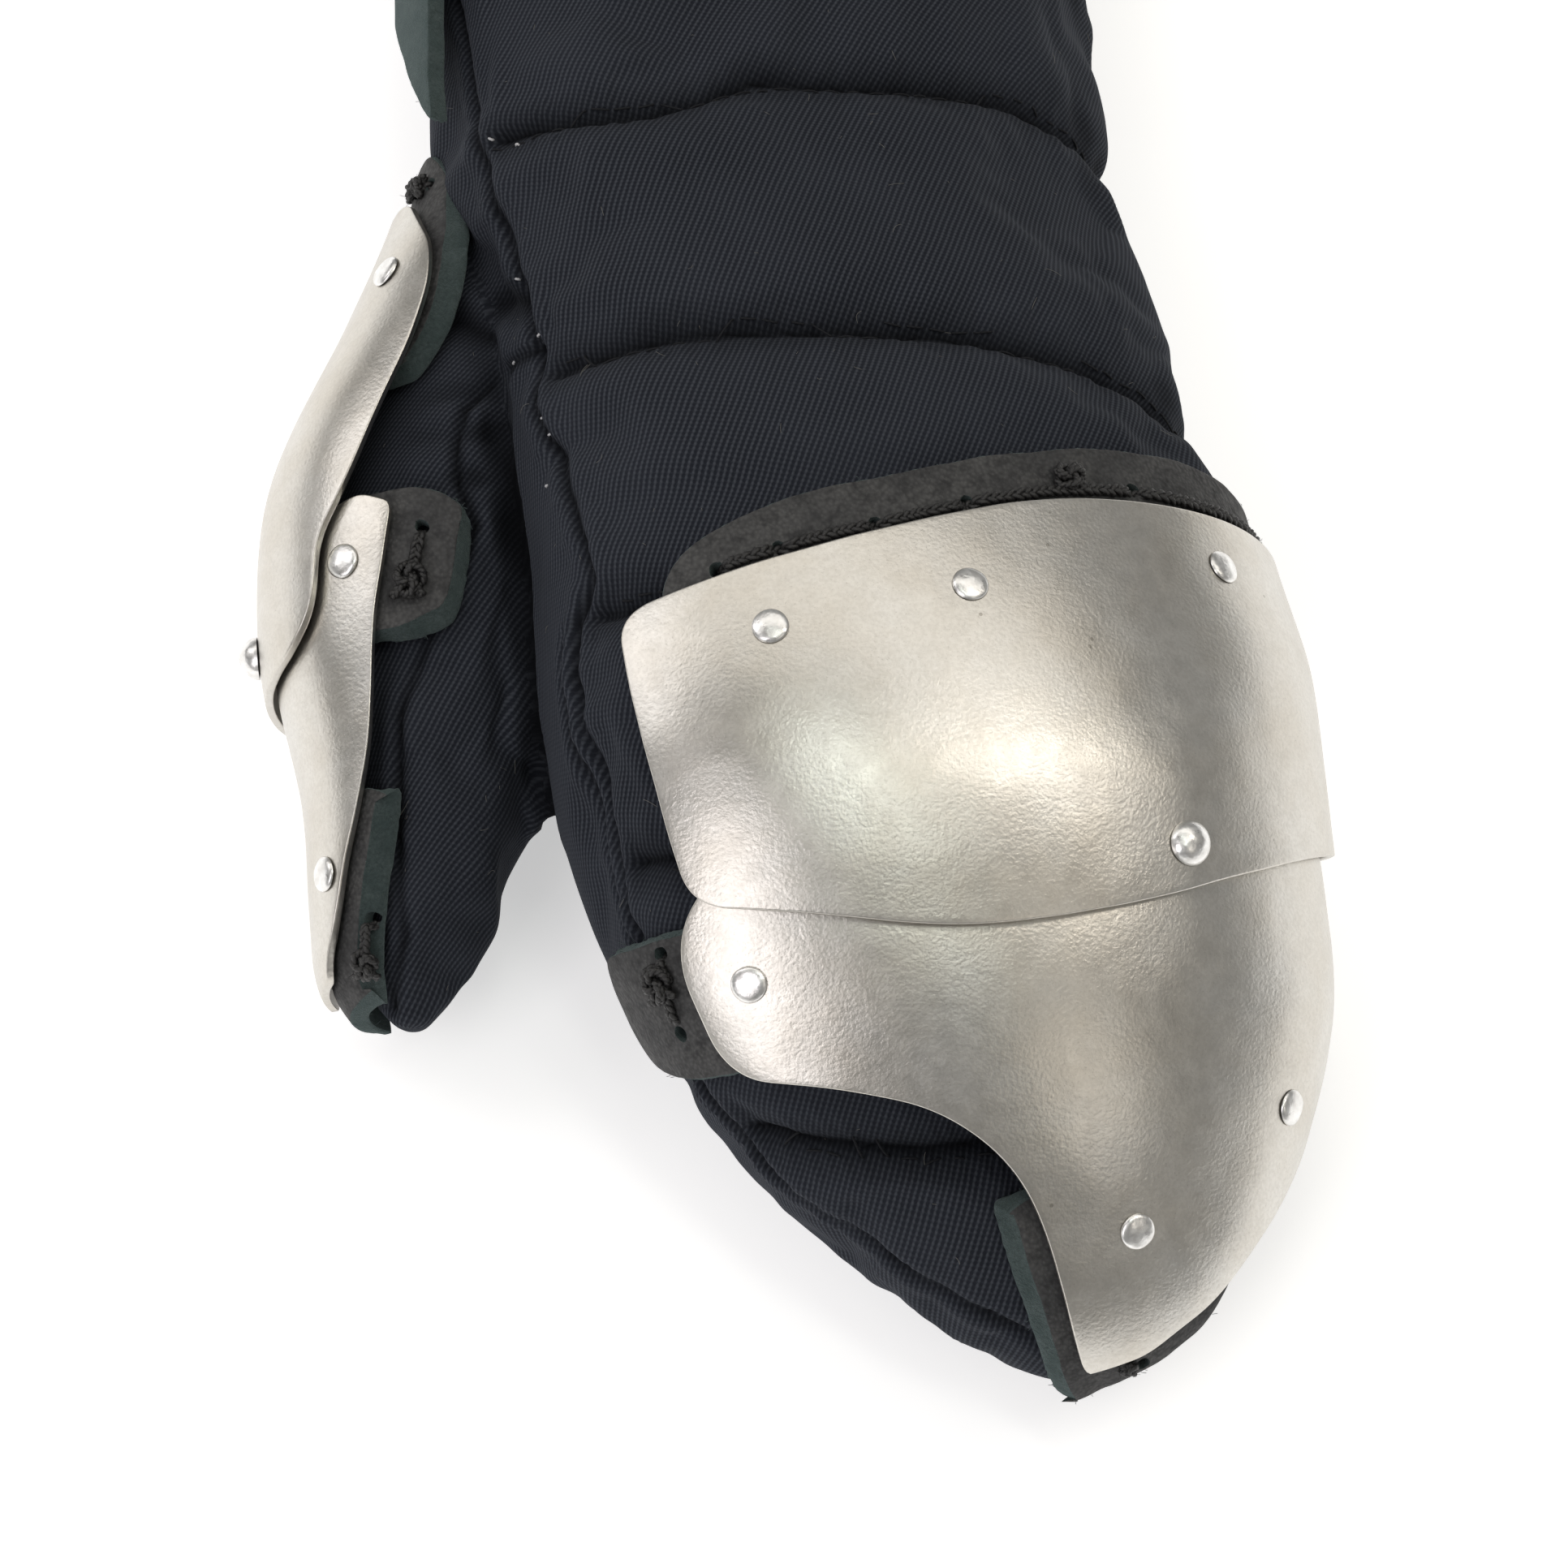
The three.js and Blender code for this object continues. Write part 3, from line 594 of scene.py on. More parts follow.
def blank(
    name, form, corners, lift, thickness, centre, rim, finishes,
    wobble, relief, seed, ragged=0.0, slant=None,
):
    """A sheet of one thickness, bent over a form.

    rim lists (inset, height) rows down the edge. wobble and ragged make the outline and the cut uneven, in
    millimetres. relief adds to the lift at each place, and slant is how far the edge is cut back there.
    """
    count = int(outline(form, corners, 8)[1] / MM / GRID)
    edge = outline(form, corners, count)[0]
    edge_points = form.at(edge[:, 0], edge[:, 1], 5)
    edge = inset(form, edge, wobble * ramble(edge_points, 9 * MM, seed))
    cut_back = slant(edge) if slant else np.zeros(len(edge))
    inner = inset(form, edge, rim[0][0] + GRID + cut_back)
    for _ in range(40):  # untangles the inset where it turns a sharp corner
        inner = (np.roll(inner, 1, 0) + 2 * inner + np.roll(inner, -1, 0)) / 4
    reach = np.linalg.norm((inner - centre) * scale_at(form, inner), axis=1).max()
    steps = np.linspace(0, 1, max(6, int(reach / (1.6 * GRID))))
    front = [(np.array(centre) + (inner - centre) * share, thickness) for share in steps]
    walls = []
    for row, (distance, height) in enumerate(rim):
        frayed = 0.2 + math.sin(math.pi * height / thickness)  # most in the middle of the cut
        rough = ragged * ramble(edge_points, 1.3 * MM, seed + 2 + row) * frayed
        share = smooth_step(0.1, thickness, height) ** 1.5
        walls.append((inset(form, edge, distance + rough * (row > 0) + cut_back * share), height))
    back = [(pattern, 0.0) for pattern, _ in front[::-1]]
    rows = front + walls + back
    pattern = np.array([row for row, _ in rows])
    pattern = np.concatenate([pattern, pattern[:, :1]], 1).reshape(-1, 2)
    height = np.repeat([height for _, height in rows], count + 1)
    r, a = pattern.T
    stand = lift(r, a) + relief(r, a)
    deselect()
    bpy.ops.mesh.primitive_grid_add(x_subdivisions=count, y_subdivisions=len(rows) - 1, size=0.1)
    piece = bpy.context.object
    piece.name = name
    set_points(piece, form.at(r, a, stand + height))
    for finish in finishes:
        piece.data.materials.append(finish)
    rows_of_faces = np.arange(len(piece.data.polygons)) // count
    index = np.where(rows_of_faces > len(front), len(finishes) - 1, 0)
    piece.data.polygons.foreach_set("material_index", index.astype(np.int32))
    merge_and_face_out(piece)
    shade(piece)
    return piece


# %% [markdown]
# ## The steel plates
#
# Each plate is hammered from 1.5 mm sheet, so its edges are a little uneven and softly rounded, and its
# face is never quite true. The knuckle plate is dished over the knuckles and stands over the finger
# plate, so that one can slide under the other. How far a plate stands off the mitten is a small function
# of the place.


# %% How far each sheet stands off the mitten
LEATHER_LIFT = 2.2
LEATHER = 3.5  # thickness
STEEL = 1.5
PLATE_LIFT = LEATHER_LIFT + LEATHER + 1
OVERLAP_LIFT = PLATE_LIFT + STEEL + 1  # a plate that lies over its neighbour


def swell(round_, along, middle, radii):
    """A rounded swelling: 1 in the middle, falling to 0 at the edge of an ellipse."""
    away = np.hypot((round_ - middle[0]) / radii[0], (along - middle[1]) / radii[1])
    return np.where(away < 1, (1 - np.minimum(away, 1) ** 2) ** 2, 0)


def tuck(round_, along):
    """How far both plates close in where they meet on the little-finger side."""
    return 3.4 * swell(round_, along, (84, 252), (48, 34))


def knuckle_lift(round_, along):
    step = (OVERLAP_LIFT - PLATE_LIFT) * smooth_step(198, 249, along)
    return PLATE_LIFT + step + 3.0 * swell(round_, along, (5, 238), (95, 58)) - tuck(round_, along)


def finger_lift(round_, along):
    return PLATE_LIFT + 2.5 * swell(round_, along, (5, 275), (70, 40)) - tuck(round_, along)


def thumb_upper_lift(round_, along):
    return PLATE_LIFT + (OVERLAP_LIFT - PLATE_LIFT) * smooth_step(18, 66, along)


def flat_lift(lift):
    """The same lift at every place."""
    return lambda round_, along: np.full(np.shape(round_), lift)


def fingertip_lift(round_, along):
    """This leather is stiff, so its free corner stands off the mitten's tip."""
    return LEATHER_LIFT + 3.0 * smooth_step(314, 334, along) * smooth_step(-20, -46, round_)


# %% Hammered unevenness
def hammered(form, seed):
    """Shallow hollows and swells left by the hammer, under half a millimetre deep."""

    def relief(round_, along):
        points = form.at(round_, along, 5)
        return 0.22 * ramble(points, 26 * MM, seed) + 0.07 * ramble(points, 9 * MM, seed + 1)

    return relief


STEEL_RIM = [  # how far in, and how high over the back
    (0.3, 1.5), (0.17, 1.48), (0.07, 1.41), (0.01, 1.3), (0, 1.1), (0, 0.5), (0.03, 0.2), (0.12, 0.05),
    (0.3, 0),
]


THUMB_OUTER = -90  # round the thumb, the line down its outer side


def mirrored(places):
    """Places on one side of the thumb's outer line, taken over to the other."""
    return [(2 * THUMB_OUTER - r, *rest) for r, *rest in places]


def both(corners):
    """Corners on one side of the thumb's outer line, and then on the other."""
    return corners + mirrored(corners)[::-1]


# %% Cut and bend the plates
PLATES = {
    "knuckle_plate": (hand, knuckle_lift, (20, 232), [
        [-71, 214, 5], [-45, 209, 20], [-10, 204.5, 18], [25, 201, 18], [60, 200, 15], [92, 202, 12],
        [116, 208, 6], [116, 252, 6], [75, 256.5, 15], [38, 262.3, 18], [0, 264, 18], [-35, 263.5, 16],
        [-69, 257, 5],
    ]),
    "finger_plate": (hand, finger_lift, (22, 284), [
        [-62, 249, 5], [0, 250, 10], [60, 247, 10], [112, 244, 5], [112, 268, 9], [98, 286, 12],
        [82, 299, 12], [70, 309, 10], [46, 319.5, 12], [10, 325.3, 9], [-25.5, 326.5, 3],
        [-19.5, 311, 14], [-22, 297, 12], [-38, 287, 14], [-56, 282.5, 12], [-73, 279.5, 6],
        [-74, 261, 7],
    ]),
    "thumb_upper_plate": (thumb, thumb_upper_lift, (-90, 58), both([
        [-66, 8, 6], [-38, 23, 9], [-29, 38, 9], [-27.5, 52, 9], [-32, 66, 8], [-42, 76, 5],
        [-42.5, 88, 7], [-54, 93.5, 7], [-70, 95, 6],
    ])),
    "thumb_tip_plate": (thumb, flat_lift(PLATE_LIFT), (-90, 108), both([
        [-52, 72, 6], [-30, 68.5, 4], [-17.5, 71, 3], [-21.5, 90, 10], [-28, 114, 14], [-41, 140, 8],
        [-62, 148.5, 4],
    ])),
}

plate_relief = {}
for seed, (name, (form, lift, centre, corners)) in enumerate(PLATES.items()):
    plate_relief[name] = hammered(form, seed)
    plate = blank(
        name + "_steel", form, corners, lift, STEEL, centre, STEEL_RIM, [steel],
        wobble=0.12, relief=plate_relief[name], seed=10 * seed,
    )
    finish_piece(plate, "satin_steel", name)
    print(name, len(plate.data.polygons), "faces")

# %% [markdown]
# ## The leathers
#
# Under the plates lie pieces of 3.5 mm leather. Their dyed faces are nearly black, but their cut edges
# and backs are raw: rough, hairy and grey-green. So the rim rows are ragged, and everything past the
# corner of the face is given the raw finish. The knife was held askew on some sides, which cut the edge
# back and bared it. The patch on the cuff is sewn on raw side out.


# %% The patterns of the leathers
THUMB_TAB = [[-42, 68, 3], [-8, 67, 8], [12, 71, 5], [13, 84, 8], [8, 91, 5], [-8, 93.5, 6], [-42, 93, 3]]
LEATHERS = {
    "knuckle_yoke": (hand, (20, 208), [
        [-66, 224, 5], [-65.5, 207, 8], [-48, 199, 12], [0, 193.4, 20], [40, 188.8, 16], [66, 188, 10],
        [92, 194, 10], [108, 203, 6], [106, 222, 5], [60, 222, 10], [0, 226, 10],
    ]),
    "index_tab": (hand, (-76, 269), [
        [-56, 258, 4], [-92, 259.5, 3], [-95, 269, 8], [-95.5, 276.5, 4], [-84, 279.5, 6], [-56, 278, 4],
    ]),
    "little_finger_tab": (hand, (84, 295), [
        [54, 286, 4], [54, 302, 4], [84, 307, 8], [118, 302, 4], [118, 285, 4], [84, 284, 8],
    ]),
    "fingertip_leather": (hand, (5, 315), [
        [-33, 300, 2], [-10, 298, 5], [30, 300, 5], [48, 305, 5], [56, 318, 5], [46, 325, 8],
        [20, 329, 8], [0, 330.5, 6], [-50, 334, 2], [-35.5, 318, 12],
    ]),
    "thumb_yoke": (thumb, (-76, 20), [
        [-72, -4, 3], [-51, 5.5, 5], [-32, 20, 6], [-25, 30, 5], [-22.5, 38, 4], [-26, 46, 4],
        [-40, 47, 4], [-60, 40, 5], [-90, 34, 5], [-120, 26, 5], [-118, 2, 5],
    ]),
    "thumb_tab_front": (thumb, (-14, 80), THUMB_TAB),
    "thumb_tab_back": (thumb, (-166, 80), mirrored(THUMB_TAB)),
    "thumb_tip_leather": (thumb, (-90, 134), both([
        [-48, 118, 4], [-18, 118.5, 2], [-20, 140, 6], [-26, 152, 3],
    ])),
    "cuff_tab": (hand, (-97, 58), [
        [-81, 112, 2], [-79, 85, 8], [-78, 60, 10], [-82, 22, 5], [-112, 22, 5], [-108, 60, 10],
        [-99, 78, 8], [-91, 90, 8], [-85.5, 102, 6],
    ]),
}
LEATHER_RIM = [
    (0.3, 3.5), (0.12, 3.44), (0, 3.2), (0, 2.8), (0, 2.2), (0, 1.6), (0, 1.0), (0.1, 0.4), (0.4, 0),
]
LEATHER_LIFTS = {"cuff_tab": flat_lift(LEATHER_LIFT + 1), "fingertip_leather": fingertip_lift}
SLANTS = {  # millimetres that the knife cut back, and the ways, round and along, that those sides face
    "thumb_tab_front": (2.6, [(1, 0.5)]),
    "thumb_tab_back": (2.6, [(-1, 0.5)]),
    "thumb_yoke": (3.6, [(1, 0.5)]),
    "fingertip_leather": (3.0, [(-1, -0.2)]),
    "index_tab": (1.3, [(-0.2, -1)]),
    "thumb_tip_leather": (3.8, [(1, -0.1), (-1, -0.1)]),
}


def slanted(form, name):
    """The cut-back of a leather's edge: full where it faces one of its ways, and nothing elsewhere."""
    if name not in SLANTS:
        return None
    depth, ways = SLANTS[name]

    def slant(edge):
        outward = outward_of(form, edge, 3)
        facing = np.max([outward @ np.array(way) / np.hypot(*way) for way in ways], axis=0)
        cut = depth * smooth_step(0.15, 0.8, facing)
        for _ in range(20):
            cut = (np.roll(cut, 1) + 2 * cut + np.roll(cut, -1)) / 4
        return cut

    return slant


def handled(form, seed):
    """The gentle waves of thick leather that was wetted and shaped by hand."""

    def relief(round_, along):
        points = form.at(round_, along, 5)
        return 0.35 * ramble(points, 22 * MM, seed) + 0.12 * ramble(points, 6 * MM, seed + 1)

    return relief


# %% Where the laces run and go through the leather
# The leather, the knot's middle and size, the way and the holes. All places are round and along.
TAB_WAY = [(-7, 74.5), (-8, 79), (-10, 84.5)]
LACES = {
    "yoke_lace": (
        "knuckle_yoke", (29, 196.2), 1.0,
        [
            (-57, 209.3), (-46.5, 207.2), (-26, 204.6), (0, 201.2), (25, 198.7), (45, 197.3), (66, 197.6),
            (86, 199.8),
        ],
        [(-57, 209.3), (-46.5, 207.2), (-26, 204.4), (0, 201), (45, 197), (86, 199.8)],
    ),
    "index_tie": (
        "index_tab", (-78.5, 265.6), 1.15,
        [(-77, 261.5), (-78, 266), (-79, 272)], [(-77, 261.5), (-79, 272.4)],
    ),
    "little_finger_tie": (
        "little_finger_tab", (109, 293), 1.0,
        [(109, 287), (108, 293), (107, 299)], [(109, 287), (107, 299)],
    ),
    "fingertip_tie": (
        "fingertip_leather", (-1, 328.2), 0.45, [(9, 327.6), (4, 328), (-1, 328.2)], [(9, 327.6)],
    ),
    "thumb_yoke_tie": (
        "thumb_yoke", (-72, 3), 0.85, [(-86, 1.5), (-76, 2), (-65, 4)], [(-86, 1.5), (-65, 4)],
    ),
    "thumb_tab_tie_front": ("thumb_tab_front", TAB_WAY[-1], 1.1, TAB_WAY, TAB_WAY[:1]),
    "thumb_tab_tie_back": (
        "thumb_tab_back", mirrored(TAB_WAY)[-1], 1.1, mirrored(TAB_WAY), mirrored(TAB_WAY)[:1],
    ),
    "thumb_tip_tie": (
        "thumb_tip_leather", (-30, 148), 0.9, [(-27, 140), (-28, 144), (-30, 148)], [(-27, 140)],
    ),
}


def punch(piece, form, place, seed):
    """Cuts an uneven lace hole through a leather, with raw walls."""
    spot, normal = form.seat(*place, LEATHER_LIFT + LEATHER / 2)
    deselect()
    bpy.ops.mesh.primitive_cylinder_add(vertices=14, radius=1.35 * MM, depth=9 * MM)
    awl = bpy.context.object
    points = get_points(awl)
    points[:, :2] *= (1 + 0.25 * ramble(points * [1, 1, 0], 1.1 * MM, seed))[:, None]
    set_points(awl, points)
    awl.rotation_euler = Vector(normal).to_track_quat("Z", "Y").to_euler()
    awl.location = spot
    bpy.ops.object.transform_apply(location=True, rotation=True, scale=True)
    awl.data.materials.append(raw_edge)
    apply_modifier(
        piece, "BOOLEAN", object=awl, operation="DIFFERENCE", solver="EXACT", material_mode="TRANSFER",
    )
    bpy.data.objects.remove(awl)


# %% Cut, punch and bend each leather
leathers = {}
leather_relief = {}
for seed, (name, (form, centre, corners)) in enumerate(LEATHERS.items(), start=20):
    leather_relief[name] = handled(form, seed)
    piece = blank(
        name + "_hide", form, corners, LEATHER_LIFTS.get(name, flat_lift(LEATHER_LIFT)), LEATHER, centre,
        LEATHER_RIM, [raw_edge if name == "cuff_tab" else leather, raw_edge],
        wobble=0.4, relief=leather_relief[name], seed=seed, ragged=0.42, slant=slanted(form, name),
    )
    for under, _, _, _, holes in LACES.values():
        for hole in holes if under == name else ():
            punch(piece, form, hole, seed + hole[0])
    shade(piece, 50)
    finish_piece(piece, "black_leather", name)
    leathers[name] = piece
    print(name, len(piece.data.polygons), "faces")

# %% [markdown]
# ## The rivets
#
# A rivet's head is a sphere squashed to a low dome and struck a few times with a small hammer, so it is
# neither quite round nor smooth. It has a shank and a clenched tail too, which hold the sheets together
# where nobody looks. Two bigger, rounder ones are pivots, on which the plates turn.

# %% Rivet sizes and places, in millimetres
# dome is the power that shapes the head: low for a flat top, high for a pointed one. dents are the hammer's.
SMALL = {"head": 6.2, "crown": 1.05, "dome": 0.75, "shank": 3.0, "dents": 0.13}
PIVOT = {"head": 7.8, "crown": 2.6, "dome": 1.15, "shank": 4.0, "dents": 0.16}
THUMB_PIVOT = PIVOT | {"crown": 3.5}
RIVETS = {  # the plate, the place round and along, the size, and how far over the form the tail is clenched
    "yoke_rivet_1": ("knuckle_plate", (-50.5, 221), SMALL, LEATHER_LIFT),
    "yoke_rivet_2": ("knuckle_plate", (-7, 217.3), SMALL, LEATHER_LIFT),
    "yoke_rivet_3": ("knuckle_plate", (58, 211), SMALL, LEATHER_LIFT),
    "yoke_rivet_4": ("knuckle_plate", (88, 212.5), SMALL, LEATHER_LIFT),
    "finger_pivot": ("knuckle_plate", (39.3, 255.5), PIVOT, PLATE_LIFT + 1),
    "index_tab_rivet": ("finger_plate", (-65.3, 267.5), SMALL, LEATHER_LIFT),
    "little_finger_tab_rivet": ("finger_plate", (64, 295), SMALL, LEATHER_LIFT),
    "fingertip_rivet": ("finger_plate", (13.5, 306.5), SMALL, LEATHER_LIFT),
    "thumb_yoke_rivet_1": ("thumb_upper_plate", (-56, 24.5), SMALL, LEATHER_LIFT),
    "thumb_yoke_rivet_2": ("thumb_upper_plate", (-112, 20), SMALL, LEATHER_LIFT),
    "thumb_pivot": ("thumb_upper_plate", (-90, 86), THUMB_PIVOT, PLATE_LIFT),
    "thumb_tab_rivet_front": ("thumb_tip_plate", (-34, 80), SMALL, LEATHER_LIFT),
    "thumb_tab_rivet_back": ("thumb_tip_plate", (-146, 80), SMALL, LEATHER_LIFT),
    "thumb_tip_rivet_front": ("thumb_tip_plate", (-50, 131), SMALL, LEATHER_LIFT),
    "thumb_tip_rivet_back": ("thumb_tip_plate", (-130, 131), SMALL, LEATHER_LIFT),
}


# %% Set a rivet
TAIL_RADIUS = 2.2
TAIL_HEIGHT = 0.8


def cylinder(radius, low, high, sides=20):
    bpy.ops.mesh.primitive_cylinder_add(
        vertices=sides, radius=radius * MM, depth=(high - low) * MM, location=(0, 0, (low + high) / 2 * MM)
    )
    return bpy.context.object


def set_rivet(name, place, normal, size, depth, seed):
    """A hammered head with its shank and clenched tail, standing on its seat along the normal."""
    deselect()
    bpy.ops.mesh.primitive_uv_sphere_add(segments=36, ring_count=24, radius=1)
    head = bpy.context.object
    points = get_points(head)
    radius = size["head"] / 2 * MM
    dome = size["crown"] * np.abs(points[:, 2]) ** size["dome"]
    height = np.where(points[:, 2] > 0, dome, -0.28 * points[:, 2] ** 2)
    uneven = 1 + 0.035 * ramble(points * [1, 1, 0], 0.9, seed)
    points = np.stack([points[:, 0] * radius * uneven, points[:, 1] * radius * uneven, height * MM], 1)
    struck = size["dents"] * MM * ramble(points, 2.2 * MM, seed + 40)
    points[:, 2] += np.where(points[:, 2] > 0, struck - 0.1 * MM, 0)
    set_points(head, points + [0, 0, (STEEL + 0.12) * MM])
    tail = cylinder(TAIL_RADIUS, -depth - TAIL_HEIGHT, -depth)
    shank = cylinder(size["shank"] / 2, -depth - 0.1, STEEL + 0.4)
    for part in (head, tail, shank):
        part.select_set(True)
    bpy.context.view_layer.objects.active = head
    bpy.ops.object.join()
    head.name = name
    head.rotation_euler = Vector(normal).to_track_quat("Z", "Y").to_euler()
    head.location = place
    bpy.ops.object.transform_apply(location=True, rotation=True, scale=True)
    shade(head, 50)
    head.data.materials.append(rivet_steel)
    return head


for seed, (name, (plate, (r, a), size, under)) in enumerate(RIVETS.items()):
    form, lift = PLATES[plate][:2]
    unevenness = plate_relief[plate](np.array([r]), np.array([a]))[0]
    place, normal = form.seat(r, a, lift)
    depth = float(lift(r, a)) - under + 0.9
    rivet = set_rivet(name + "_head", place + normal * unevenness * MM, normal, size, depth, seed)
    finish_piece(rivet, "rivet_steel", name)
print("rivets:", len(RIVETS))

# %% [markdown]
# ## The mitten's body
#
# The mitten is sewn from cloth and stuffed flat channels, so it is modelled as a body and not as a sheet.
# A grid is wrapped round each form and closed at the ends. The two are joined, and a voxel remesh makes
# one skin of them, with even faces that a cloth simulation likes.

# %% The index seam and the quilting lines
# The seam that joins back and palm on the index side, as round, along, from the hem to the fingertips.
INDEX_SEAM = np.array([
    (-86, 0), (-84, 40), (-82, 82), (-80, 95), (-79, 107), (-78, 120), (-79, 134), (-80, 145), (-80, 158),
    (-83, 168), (-81, 182), (-80, 188), (-79, 196), (-79, 202), (-84, 208), (-86, 216), (-86, 239),
    (-87, 259), (-87, 280), (-84, 294), (-66, 307), (-47, 317), (-10, 327), (40, 330), (75, 322),
    (95, 305), (104, 285), (112, 250), (116, 200), (118, 150), (118, 100), (118, 50), (118, 0),
], float)
SEAM_SIDE = INDEX_SEAM[:20]  # the stretch up the index side, where each place along has one place round
QUILT_ROUNDS = [-95, -72, -45, -20, 20, 50, 66, 85]
QUILTING = np.array([  # along, at each of those places round; a row for each line from the hem
    [16, 16, 16, 16, 16, 16, 17, 18],
    [67, 67, 66, 64, 63, 62, 63, 65],
    [117, 118, 117, 111, 108, 105, 106, 110],
    [163, 164, 164, 164, 164, 167, 171, 175],
    [206, 209, 211, 211, 211, 211, 211, 211],
    [246, 249, 250, 250, 250, 250, 250, 250],
    [285, 290, 293, 293, 293, 292, 290, 288],
], float)
HEM_Y = hand.at(0, 0)[0][1]


OPEN_EDGES = (  # steps that select the edges round the holes
    (bpy.ops.mesh.select_all, {"action": "DESELECT"}),
    (bpy.ops.mesh.select_mode, {"type": "EDGE"}),
    (bpy.ops.mesh.select_non_manifold, {}),
)


def wrap(name, form, alongs, columns, lift, floor):
    """A closed body round a form, through rings at places along it, and nowhere lower than the floor."""
    rounds = np.linspace(-180, 180, columns + 1)
    r, a = (grid.ravel() for grid in np.meshgrid(rounds, alongs))
    deselect()
    bpy.ops.mesh.primitive_grid_add(x_subdivisions=columns, y_subdivisions=len(alongs) - 1, size=0.1)
    body = bpy.context.object
    body.name = name
    points = form.at(r, a, lift)
    points[:, 2] = np.maximum(points[:, 2], floor * MM)
    set_points(body, points)
    edit(body, (bpy.ops.mesh.remove_doubles, {"threshold": 2e-6}))
    edit(body, *OPEN_EDGES, (bpy.ops.mesh.fill_holes, {"sides": 0}))
    merge_and_face_out(body)
    return body


def fused(name, pieces, voxel):
    """Several bodies made one, with an even net of faces."""
    deselect()
    for piece in pieces:
        piece.select_set(True)
    bpy.context.view_layer.objects.active = pieces[0]
    bpy.ops.object.join()
    body = bpy.context.object
    body.name = name
    apply_modifier(body, "REMESH", mode="VOXEL", voxel_size=voxel * MM)
    return body


# %% The outside
HAND_RINGS = np.concatenate([np.linspace(-12, 306, 107), np.linspace(309, 336, 16)])
THUMB_RINGS = np.linspace(-14, 154, 70)
mitten = fused(
    "quilted_mitten",
    [wrap("hand", hand, HAND_RINGS, 144, 0, 0.2), wrap("thumb", thumb, THUMB_RINGS, 72, 0, 0.2)],
    4,
)
print("faces before the cloth settles:", len(mitten.data.polygons))


# %% Where the cloth's points lie on the forms
class Skin:
    """Finds where points lie on a form: degrees round it, millimetres along it and millimetres off it."""

    def __init__(self, form, first, last):
        self.form = form
        grids = np.meshgrid(np.arange(-180, 180, 3.0), np.arange(first, last, 2.5))
        r, a = (grid.ravel() for grid in grids)
        self.places = np.stack([r, a], 1)
        self.tree = tree_of(form.at(r, a))

    def find(self, points):
        """Each point's place on the form, refined from the nearest known one, and how far off it lies."""
        place = self.places[[self.tree.find(point)[1] for point in points]]
        for _ in range(2):
            r, a = place.T
            gap = points - self.form.at(r, a)
            across = self.form.at(r + 0.5, a) - self.form.at(r - 0.5, a)
            ahead = self.form.at(r, a + 0.5) - self.form.at(r, a - 0.5)
            cc, ca, aa = ((x * y).sum(1) for x, y in ((across, across), (across, ahead), (ahead, ahead)))
            gc, ga = (gap * across).sum(1), (gap * ahead).sum(1)
            det = cc * aa - ca**2 + 1e-30
            step = np.stack([gc * aa - ga * ca, ga * cc - gc * ca], 1) / det[:, None]
            place = place + np.clip(step, -3, 3)
        off = np.linalg.norm(points - self.form.at(*place.T), axis=1) / MM
        return place, off


hand_skin = Skin(hand, 0, 337)
thumb_skin = Skin(thumb, -14, 155)


# %% Which places are held by stitches, leather or the table
def near_line(value, line, reach):
    """1 on a line, falling smoothly to 0 at its reach."""
    return 1 - smooth_step(0, reach, np.abs(value - line))


def from_seam(r, a):
    """Degrees round from the index seam, and more than 0 on the quilted side."""
    return r - np.interp(a, SEAM_SIDE[:, 1], SEAM_SIDE[:, 0])


def on_back(r, a):
    """1 where the hand is quilted, and 0 on the palm."""
    return (1 - smooth_step(88, 108, r)) * smooth_step(0, 5, from_seam(r, a))


def quilt_distance(r, a):
    """Millimetres along from each place to the nearest quilting line, and which line that is."""
    lines = np.stack([np.interp(r, QUILT_ROUNDS, row) for row in QUILTING], 1)
    away = a[:, None] - lines
    nearest = np.argmin(np.abs(away), axis=1)
    return away[np.arange(len(a)), nearest], nearest


def covered(form, r, a):
    """1 under the leathers and plates, and 0 elsewhere."""
    if form is hand:
        under = smooth_step(186, 196, a) * (1 - smooth_step(322, 334, a)) * smooth_step(-74, -66, r)
        tab = near_line(r, -76, 26) * near_line(a, 269, 20)
        cuff = near_line(r, -94, 24) * near_line(a, 62, 60)
        tip = smooth_step(-30, -22, r) + (1 - smooth_step(278, 292, a))
        return np.clip(np.maximum(np.maximum(under * np.clip(tip, 0, 1), tab), cuff), 0, 1)
    outer = 1 - smooth_step(62, 78, np.abs(r + 90))
    front = near_line(r, -8, 30) * near_line(a, 80, 22)
    back = near_line(r, -172, 30) * near_line(a, 80, 22)
    yoke = (1 - smooth_step(60, 80, np.abs(r + 70))) * (1 - smooth_step(40, 52, a))
    return np.clip(np.maximum(np.maximum(outer, yoke), np.maximum(front, back)), 0, 1)


# %% [markdown]
# ## Letting the cloth settle
#
# Blender's cloth is blown up a little from inside, as the wadding does, while its points at the quilting,
# under the leathers and on the table are pinned. A short run is enough: the free cloth puffs and creases.
# No point may move more than two millimetres, so that the mitten stays in its own space.


# %% Cloth
SETTLING_FRAMES = 20


